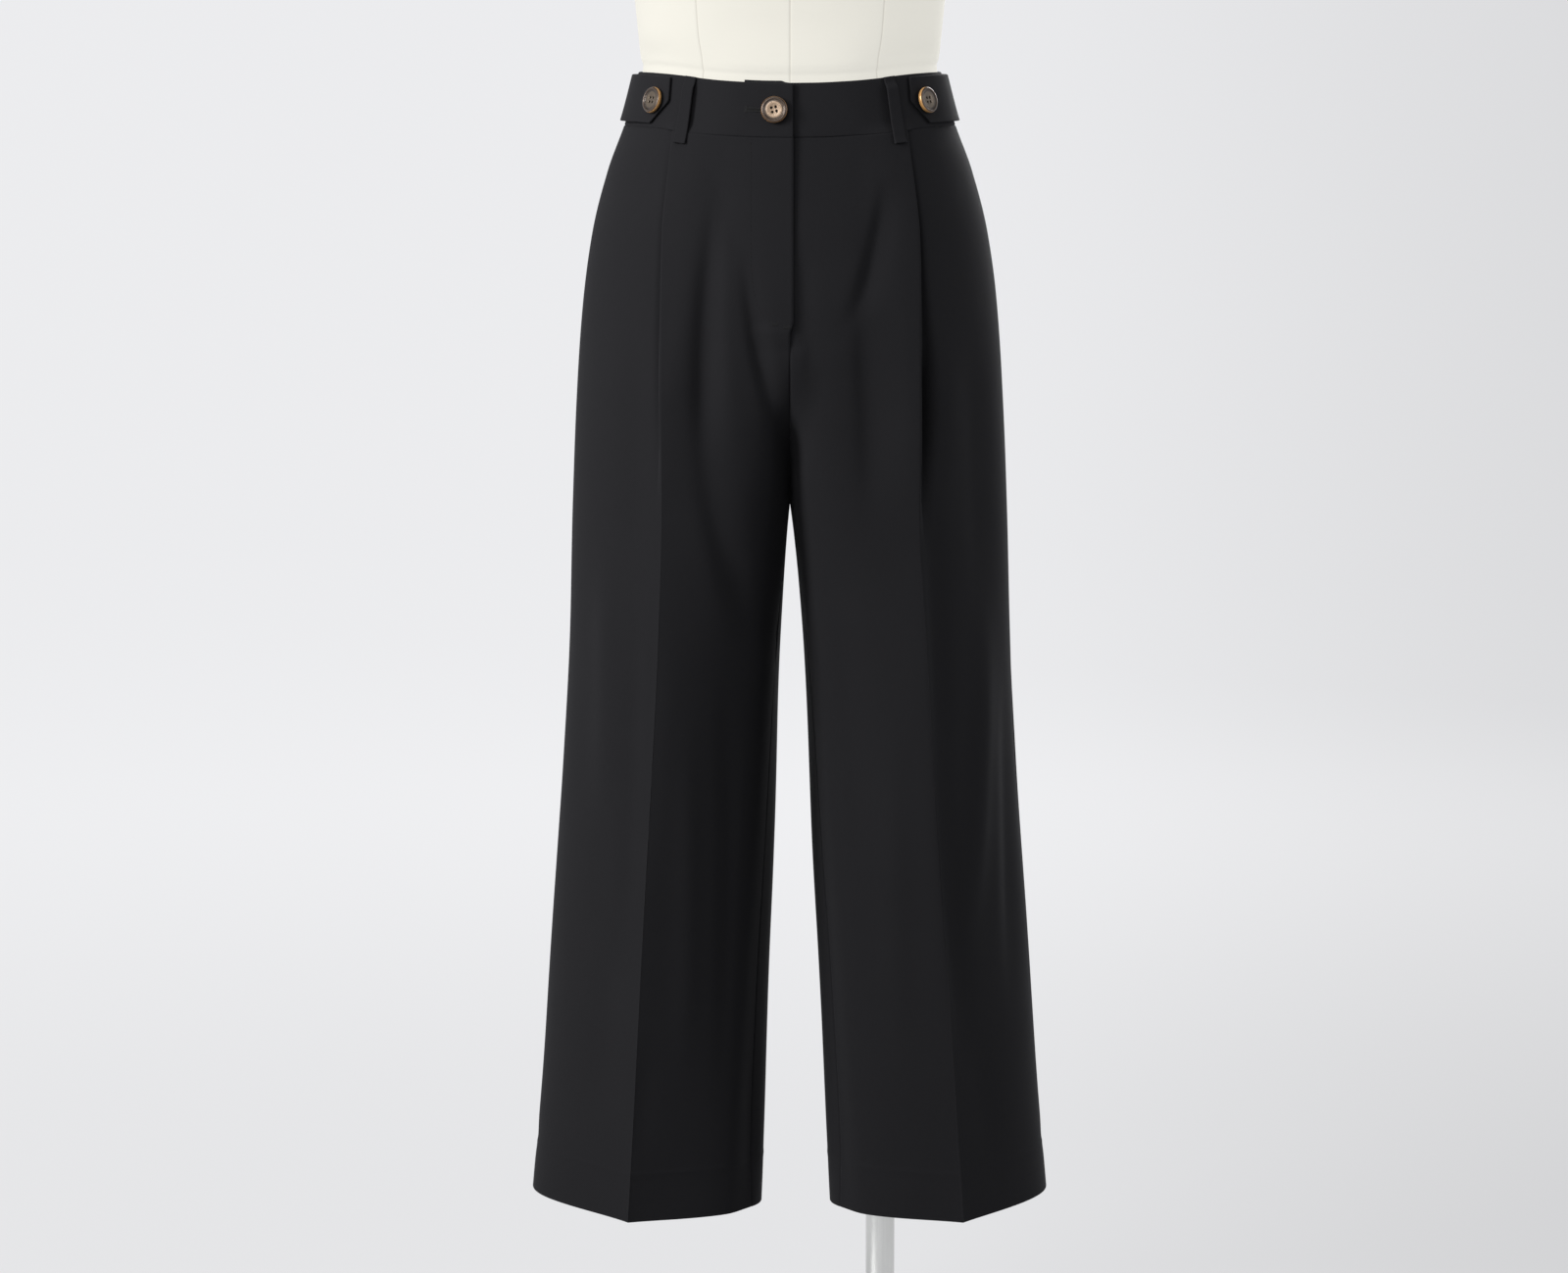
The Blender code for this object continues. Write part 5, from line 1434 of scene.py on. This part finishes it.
# %% Form cover
def form_shell(grid):
    rows, columns_count = grid.shape[:2]
    outward = grid - grid.mean(axis=1, keepdims=True)
    outward[:, :, 2] = 0
    outward /= np.linalg.norm(outward, axis=2, keepdims=True)
    sunk = np.exp(-(from_seams(turns) / COVER_SEAM_WIDTH) ** 2)
    seam_tone = np.exp(-(from_seams(turns) / COVER_SEAM_SHADE) ** 2)
    points = grid - outward * (COVER_SEAM_DEPTH * sunk)[None, :, None]
    steps = np.linalg.norm(np.diff(np.concatenate([grid, grid[:, :1]], axis=1), axis=1), axis=2)
    across = np.concatenate([np.zeros((rows, 1)), np.cumsum(steps, axis=1)[:, :-1]], axis=1)
    uvs = np.stack([across, grid[:, :, 2]], -1).reshape(-1, 2)
    index = np.arange(rows * columns_count).reshape(rows, columns_count)
    nxt = np.roll(index, -1, axis=1)
    faces = np.stack([index[:-1], nxt[:-1], nxt[1:], index[1:]], -1).reshape(-1, 4).tolist()
    flat = points.reshape(-1, 3)
    for row, direction in ((0, -1), (rows - 1, 1)):
        centre = len(flat)
        flat = np.vstack([flat, grid[row].mean(axis=0)])
        uvs = np.vstack([uvs, uvs[index[row]].mean(axis=0)])
        faces += [[int(index[row, side]), int(nxt[row, side]), centre]
                  for side in range(columns_count)]
    made = finish_piece("form_cover", flat, faces, cover.material, uvs, 50.0)
    tone = made.data.attributes.new("seam", "FLOAT", "POINT")
    tone.data.foreach_set("value", np.concatenate(
        [np.tile(seam_tone, rows), [0.0, 0.0]]).astype(np.float32))
    return made


form = dress(form_shell(form_grid), "form_cover", "form_torso")
print("form faces", len(form.data.polygons))

# %% [markdown]
# The stand's parts are turned: a steel tube, its collar and a heavy plate, and above the neck a
# wooden cap. Each is a profile swept round an axis, with the fine softened edges that catch the
# light. A Bevel modifier would round them too, but a profile says where each edge is.

# %% Neck cap and stand
POLE_X = 76.0
POLE_RADIUS = 12.0
COLLAR_RADIUS = 22.0
COLLAR_HEIGHT = 38.0
BASE_RADIUS = 222.0
BASE_HEIGHT = 6.0
JOINT_GAP = 0.3

pole_low = BASE_HEIGHT + JOINT_GAP
pole_top = FORM_BELOW[0][0] - JOINT_GAP
pole = turned_piece("pole", ((0, pole_low), (POLE_RADIUS - 0.4, pole_low),
                             (POLE_RADIUS, pole_low + 0.4), (POLE_RADIUS, 250), (POLE_RADIUS, 500),
                             (POLE_RADIUS, pole_top - 0.4), (POLE_RADIUS - 0.4, pole_top),
                             (0, pole_top)), (POLE_X, 0.0), 64, steel.material)
bore = POLE_RADIUS + JOINT_GAP
collar_top = pole_low + COLLAR_HEIGHT
collar = turned_piece("collar", (
    (bore, pole_low), (COLLAR_RADIUS - 0.8, pole_low), (COLLAR_RADIUS, pole_low + 0.8),
    (COLLAR_RADIUS, pole_low + COLLAR_HEIGHT * 0.72), (COLLAR_RADIUS - 0.6, pole_low + 28.6),
    (bore + 4.2, collar_top - 0.9), (bore + 3.0, collar_top - 0.1), (bore + 0.5, collar_top),
    (bore, collar_top - 0.4)), (POLE_X, 0.0), 72, steel.material, closed_loop=True)
base = turned_piece("base_plate", (
    (0, 0), (BASE_RADIUS - 1.2, 0), (BASE_RADIUS - 0.3, 0.4), (BASE_RADIUS, 1.2),
    (BASE_RADIUS, BASE_HEIGHT - 2.2), (BASE_RADIUS - 0.5, BASE_HEIGHT - 0.9),
    (BASE_RADIUS - 2.0, BASE_HEIGHT - 0.1), (BASE_RADIUS - 3.0, BASE_HEIGHT),
    (BASE_RADIUS * 0.5, BASE_HEIGHT), (0, BASE_HEIGHT)), (0.0, 0.0), 160, plate.material)
for piece, node in ((pole, "stand_pole"), (collar, "stand_collar"), (base, "stand_base")):
    dress(piece, "stand_steel", node)

CAP_SIDES = 96
CAP_HEIGHT = 9.0
CAP_PROFILE = ((0.97, 0.0), (1.02, 0.0), (1.04, 0.06), (1.05, 0.2), (1.05, 0.66), (1.045, 0.8),
               (1.03, 0.92), (1.0, 0.98), (0.93, 1.0), (0.5, 1.0))
neck_z, *neck_sizes = FORM_ABOVE[-1]
cap_points = np.concatenate([
    oval_ring(np.arange(CAP_SIDES) / CAP_SIDES, neck_z + JOINT_GAP + up * CAP_HEIGHT,
              *[size * share for size in neck_sizes]) for share, up in CAP_PROFILE])
cap_rings = np.arange(len(cap_points)).reshape(-1, CAP_SIDES).tolist()
cap_faces = ring_faces(cap_rings) + [cap_rings[0], cap_rings[-1]]
cap = dress(finish_piece("neck_cap", cap_points, cap_faces, wood.material, None, 30.0),
            "neck_cap_wood", "form_neck_cap")
print("stand pieces:", pole.name, collar.name, base.name, cap.name)

# %% [markdown]
# Stitches repeat along a line, so Geometry Nodes lay them: a curve is divided at an even pitch,
# a small bead of thread goes on each point, turned along the line, and the result is kept as a
# plain mesh. The fly's stitching is black on black and shows only as a fine broken line.

# %% Stitch tree
def stitch_tree():
    tree = bpy.data.node_groups.new("stitch_line", "GeometryNodeTree")
    tree.interface.new_socket("Path", in_out="INPUT", socket_type="NodeSocketGeometry")
    names = {}
    for name, value in (("Pitch", 0.003), ("Stitch Length", 0.0023), ("Thread Radius", 0.0002)):
        socket = tree.interface.new_socket(name, in_out="INPUT", socket_type="NodeSocketFloat")
        socket.default_value = value
        names[name] = socket.identifier
    tree.interface.new_socket("Stitches", in_out="OUTPUT", socket_type="NodeSocketGeometry")

    def add(kind, **settings):
        node = tree.nodes.new(kind)
        for key, value in settings.items():
            setattr(node, key, value)
        return node

    inputs, outputs = add("NodeGroupInput"), add("NodeGroupOutput")
    to_curve = add("GeometryNodeMeshToCurve")
    spaced = add("GeometryNodeResampleCurve", mode="LENGTH")
    tangent = add("GeometryNodeInputTangent")
    bead = add("GeometryNodeMeshUVSphere")
    bead.inputs["Segments"].default_value = 8
    bead.inputs["Rings"].default_value = 6
    bead.inputs["Radius"].default_value = 1.0
    scale = add("ShaderNodeCombineXYZ")
    half = add("ShaderNodeMath", operation="MULTIPLY")
    half.inputs[1].default_value = 0.5
    align = add("FunctionNodeAlignRotationToVector", axis="Z")
    place = add("GeometryNodeInstanceOnPoints")
    real = add("GeometryNodeRealizeInstances")
    finish = add("GeometryNodeSetMaterial")
    finish.inputs["Material"].default_value = thread.material
    smooth = add("GeometryNodeSetShadeSmooth")
    for giver, given, taker, taken in (
            (inputs, "Path", to_curve, "Mesh"), (to_curve, "Curve", spaced, "Curve"),
            (inputs, "Pitch", spaced, "Length"), (spaced, "Curve", place, "Points"),
            (bead, "Mesh", place, "Instance"), (tangent, "Tangent", align, "Vector"),
            (align, "Rotation", place, "Rotation"), (inputs, "Stitch Length", half, 0),
            (inputs, "Thread Radius", scale, "X"), (inputs, "Thread Radius", scale, "Y"),
            (half, "Value", scale, "Z"), (scale, "Vector", place, "Scale"),
            (place, "Instances", smooth, "Geometry"), (smooth, "Geometry", real, "Geometry"),
            (real, "Geometry", finish, "Geometry"), (finish, "Geometry", outputs, "Stitches")):
        tree.links.new(giver.outputs[given], taker.inputs[taken])
    return tree, names


tree, stitch_inputs = stitch_tree()


print("stitch tree:", len(tree.nodes), "nodes")

# %% [markdown]
# A seam is then one call: the line to follow and the stitch's sizes. The lines lie on the cloth,
# so a second helper reads the front's outer face at any place.

# %% Stitches on cloth
def stitch(name, points, pitch, length, radius):
    """Beads of thread along a line of points in mm."""
    mesh = bpy.data.meshes.new(name)
    mesh.from_pydata((np.asarray(points) * MM).tolist(),
                     [(i, i + 1) for i in range(len(points) - 1)], [])
    made = bpy.data.objects.new(name, mesh)
    bpy.context.scene.collection.objects.link(made)
    maker = made.modifiers.new("stitches", "NODES")
    maker.node_group = tree
    for key, value in (("Pitch", pitch), ("Stitch Length", length), ("Thread Radius", radius)):
        maker[stitch_inputs[key]] = value * MM
    evaluated(made)
    return dress(made, "trouser_cloth")


def on_front(hand, x, level, out=0.0):
    """A point on the front's outer face, x from the middle, and out from it."""
    face = front_row(float(level), hand)[0]
    middle = face[:FRONT_COLUMNS]
    y = np.interp(x, middle[:, 0], middle[:, 1])
    ahead = np.interp(x + 0.5, middle[:, 0], middle[:, 1]) - np.interp(
        x - 0.5, middle[:, 0], middle[:, 1])
    normal = np.array([ahead, -1.0]) / math.hypot(ahead, 1.0)
    x_out, y_out = x + normal[0] * out, y + normal[1] * out
    return np.array([hand * x_out, y_out, height_at(x, y, level)])


print("the cloth's face on the fly:", np.round(on_front(RIGHT, 20.0, 960.0), 1), "mm")

# %% [markdown]
# The fly's stitching runs down and curves in to the fly's end like the letter J, where two bar
# tacks hold it. The buttonhole has two tight zigzag edges and a bar across the end away from the
# button; between the edges a line of dark thread beads is the slit's painted shade.

# %% Fly stitching, bar tacks and buttonhole
J_DOWN = ((31.0, 1042.0), (31.1, 949.4), (30.2, 930.0), (26.5, 908.0))
J_HOOK = ((26.5, 908.0), (20.0, 898.0), (13.0, 893.2), (4.0, 890.9))
BUTTONHOLE = (34.7, 14.0)
BUTTONHOLE_SIDE = 1.175


def on_band(g, up, out):
    """A point on the lap, g from the middle and up from the band's middle line."""
    share = share_of_length(g)
    return band_point(RIGHT, share, BAND_MIDDLE_Z + up,
                      lap_lift(share * seam_length, WAIST_SEAM_Z) + out)[0]


def zigzag(start, end, width, count, place, out):
    """A tight zigzag between two places, as a bar tack is sewn. A width below zero begins it on
    the other side."""
    start, end = np.array(start), np.array(end)
    run = (end - start) / np.linalg.norm(end - start)
    aside = np.array([-run[1], run[0]]) * width / 2
    return [place(*(start + (end - start) * step / count + aside * (1 if step % 2 else -1)), out)
            for step in range(count + 1)]


on_fly = functools.partial(on_front, RIGHT)
j_down = Table(("z", "x"), [(z, x) for x, z in J_DOWN])
hook_steps, hook = np.arange(len(J_HOOK)), np.array(J_HOOK)
j_points = [on_fly(float(j_down.at("x", z)), z, 0.05) for z in np.linspace(1042, 908, 90)]
j_points += [on_fly(np.interp(t, hook_steps, hook[:, 0]), np.interp(t, hook_steps, hook[:, 1]),
                    0.08) for t in np.linspace(0, 3, 28)[1:]]
stitch("fly_stitching", j_points, 3.4, 2.2, 0.25)
stitch("fly_bar_tack", zigzag((14.4, 893.2), (10.0, 892.8), 2.0, 20, on_fly, 0.12), 0.5, 0.9, 0.24)
stitch("fly_end_tack", zigzag((4.8, 890.9), (-1.2, 890.7), 2.2, 26, on_fly, 0.12), 0.5, 0.9, 0.24)

far, near = BUTTONHOLE
for side, side_name in ((1, "upper"), (-1, "lower")):
    edge = zigzag((far, side * BUTTONHOLE_SIDE), (near, side * BUTTONHOLE_SIDE), side * -1.25, 120,
                  on_band, 0.15)
    stitch(f"buttonhole_{side_name}", edge, 0.42, 0.8, 0.26)
# The slit is painted shade: a line of dark thread beads where the cut opens.
slit = [on_band(far - 0.8 - step * 0.3, 0.0, 0.05) for step in range(66)]
stitch("buttonhole_slit_shade", slit, 0.4, 1.0, 0.42)
stitch("buttonhole_bar", zigzag((far, -2.4), (far, 2.4), -1.8, 40, on_band, 0.2), 0.42, 0.8, 0.22)
print("stitching done")

# %% [markdown]
# The studio is a pale floor that sweeps up into a round wall far away, so no horizon shows from
# any side. Lighting a room that size evenly would take many lamps and would spill on the cloth,
# so the backdrop glows by itself. Its glow is a little less to the right and on the floor round
# the form, which is painted shade.

# %% Backdrop
STAGE_GREY = 0.05
STAGE_GLOW = 0.825
backdrop = Finish("pale_studio", Roughness=1.0, Specular_IOR_Level=0.0, Emission_Strength=1.0,
                  Base_Color=(STAGE_GREY, STAGE_GREY, STAGE_GREY, 1.0))
in_room = backdrop.place()
room_x, room_y = backdrop.axis(in_room, "X"), backdrop.axis(in_room, "Y")
from_form = (room_x * room_x + room_y * room_y) ** 0.5
# Painted shade: the glow falls off to the right, away from the window, and on the floor round the
# form.
shade_to_right = (room_x / (from_form + 3.5)).smooth(0.0, 0.22)
floor_shade = 1 - from_form.smooth(0.4, 3.2)
floor_cloud = backdrop.noise(in_room, 0.35, 2.0)
glow = STAGE_GLOW - shade_to_right * 0.14 - floor_shade * 0.10 + floor_cloud * 0.01
backdrop.set("Emission Color", backdrop.add("CombineColor", {}, {
    "Red": glow * 0.995, "Green": glow * 0.998, "Blue": glow * 1.018}))
ROOM_RADIUS = 9.5
ROOM_CURVE = 3.0
curve_steps = [(ROOM_RADIUS - ROOM_CURVE + ROOM_CURVE * math.sin(a),
                ROOM_CURVE - ROOM_CURVE * math.cos(a)) for a in np.linspace(0, math.pi / 2, 17)]
room_profile = [(0, 0), (1.5, 0), (2.5, 0)] + curve_steps + [(ROOM_RADIUS, 9.0)]
room = turned_piece("studio_room", [(r * 1000, z * 1000 - 0.2) for r, z in room_profile],
                    (0.0, 0.0), 96, backdrop.material)
room.visible_shadow = False
room.visible_diffuse = False


print("room:", 2 * ROOM_RADIUS, "m across")

# %% [markdown]
# The large window is to the left and gives the cloth its shape, the others only open the shadows.
# Area lights are used because their soft edges suit cloth; a sun would draw hard ones.

# %% Lights
def soft_light(name, place, size, energy, colour, target=(0.0, 0.0, 0.7)):
    data = bpy.data.lights.new(name, "AREA")
    data.shape = "RECTANGLE"
    data.size, data.size_y = size
    data.energy, data.color = energy, colour
    light = bpy.data.objects.new(name, data)
    light.location = place
    light.rotation_euler = (Vector(target) - Vector(place)).to_track_quat("-Z", "Y").to_euler()
    light.visible_camera = False
    bpy.context.scene.collection.objects.link(light)


soft_light("window_left", (-2.0, -1.35, 1.8), (0.8, 1.2), 62.0, (1.0, 0.995, 0.98))
soft_light("front", (-0.9, -2.4, 2.3), (1.0, 1.0), 17.0, (1.0, 1.0, 0.99))
soft_light("fill_right", (2.3, -0.5, 1.7), (1.0, 1.6), 15.0, (0.97, 0.98, 1.0))
soft_light("behind", (1.3, 2.7, 2.1), (1.6, 1.6), 80.0, (1.0, 1.0, 1.0))
soft_light("top", (-0.4, -0.6, 3.6), (2.4, 2.4), 12.0, (1.0, 1.0, 1.0))

world = bpy.data.worlds.new("room_light")
world.use_nodes = True
air = world.node_tree.nodes["Background"]
air.inputs["Color"].default_value = (0.97, 0.98, 1.0, 1.0)
air.inputs["Strength"].default_value = 0.19
bpy.context.scene.world = world
bpy.context.scene.view_settings.view_transform = "Standard"
print("lights and room ready")

# %% [markdown]
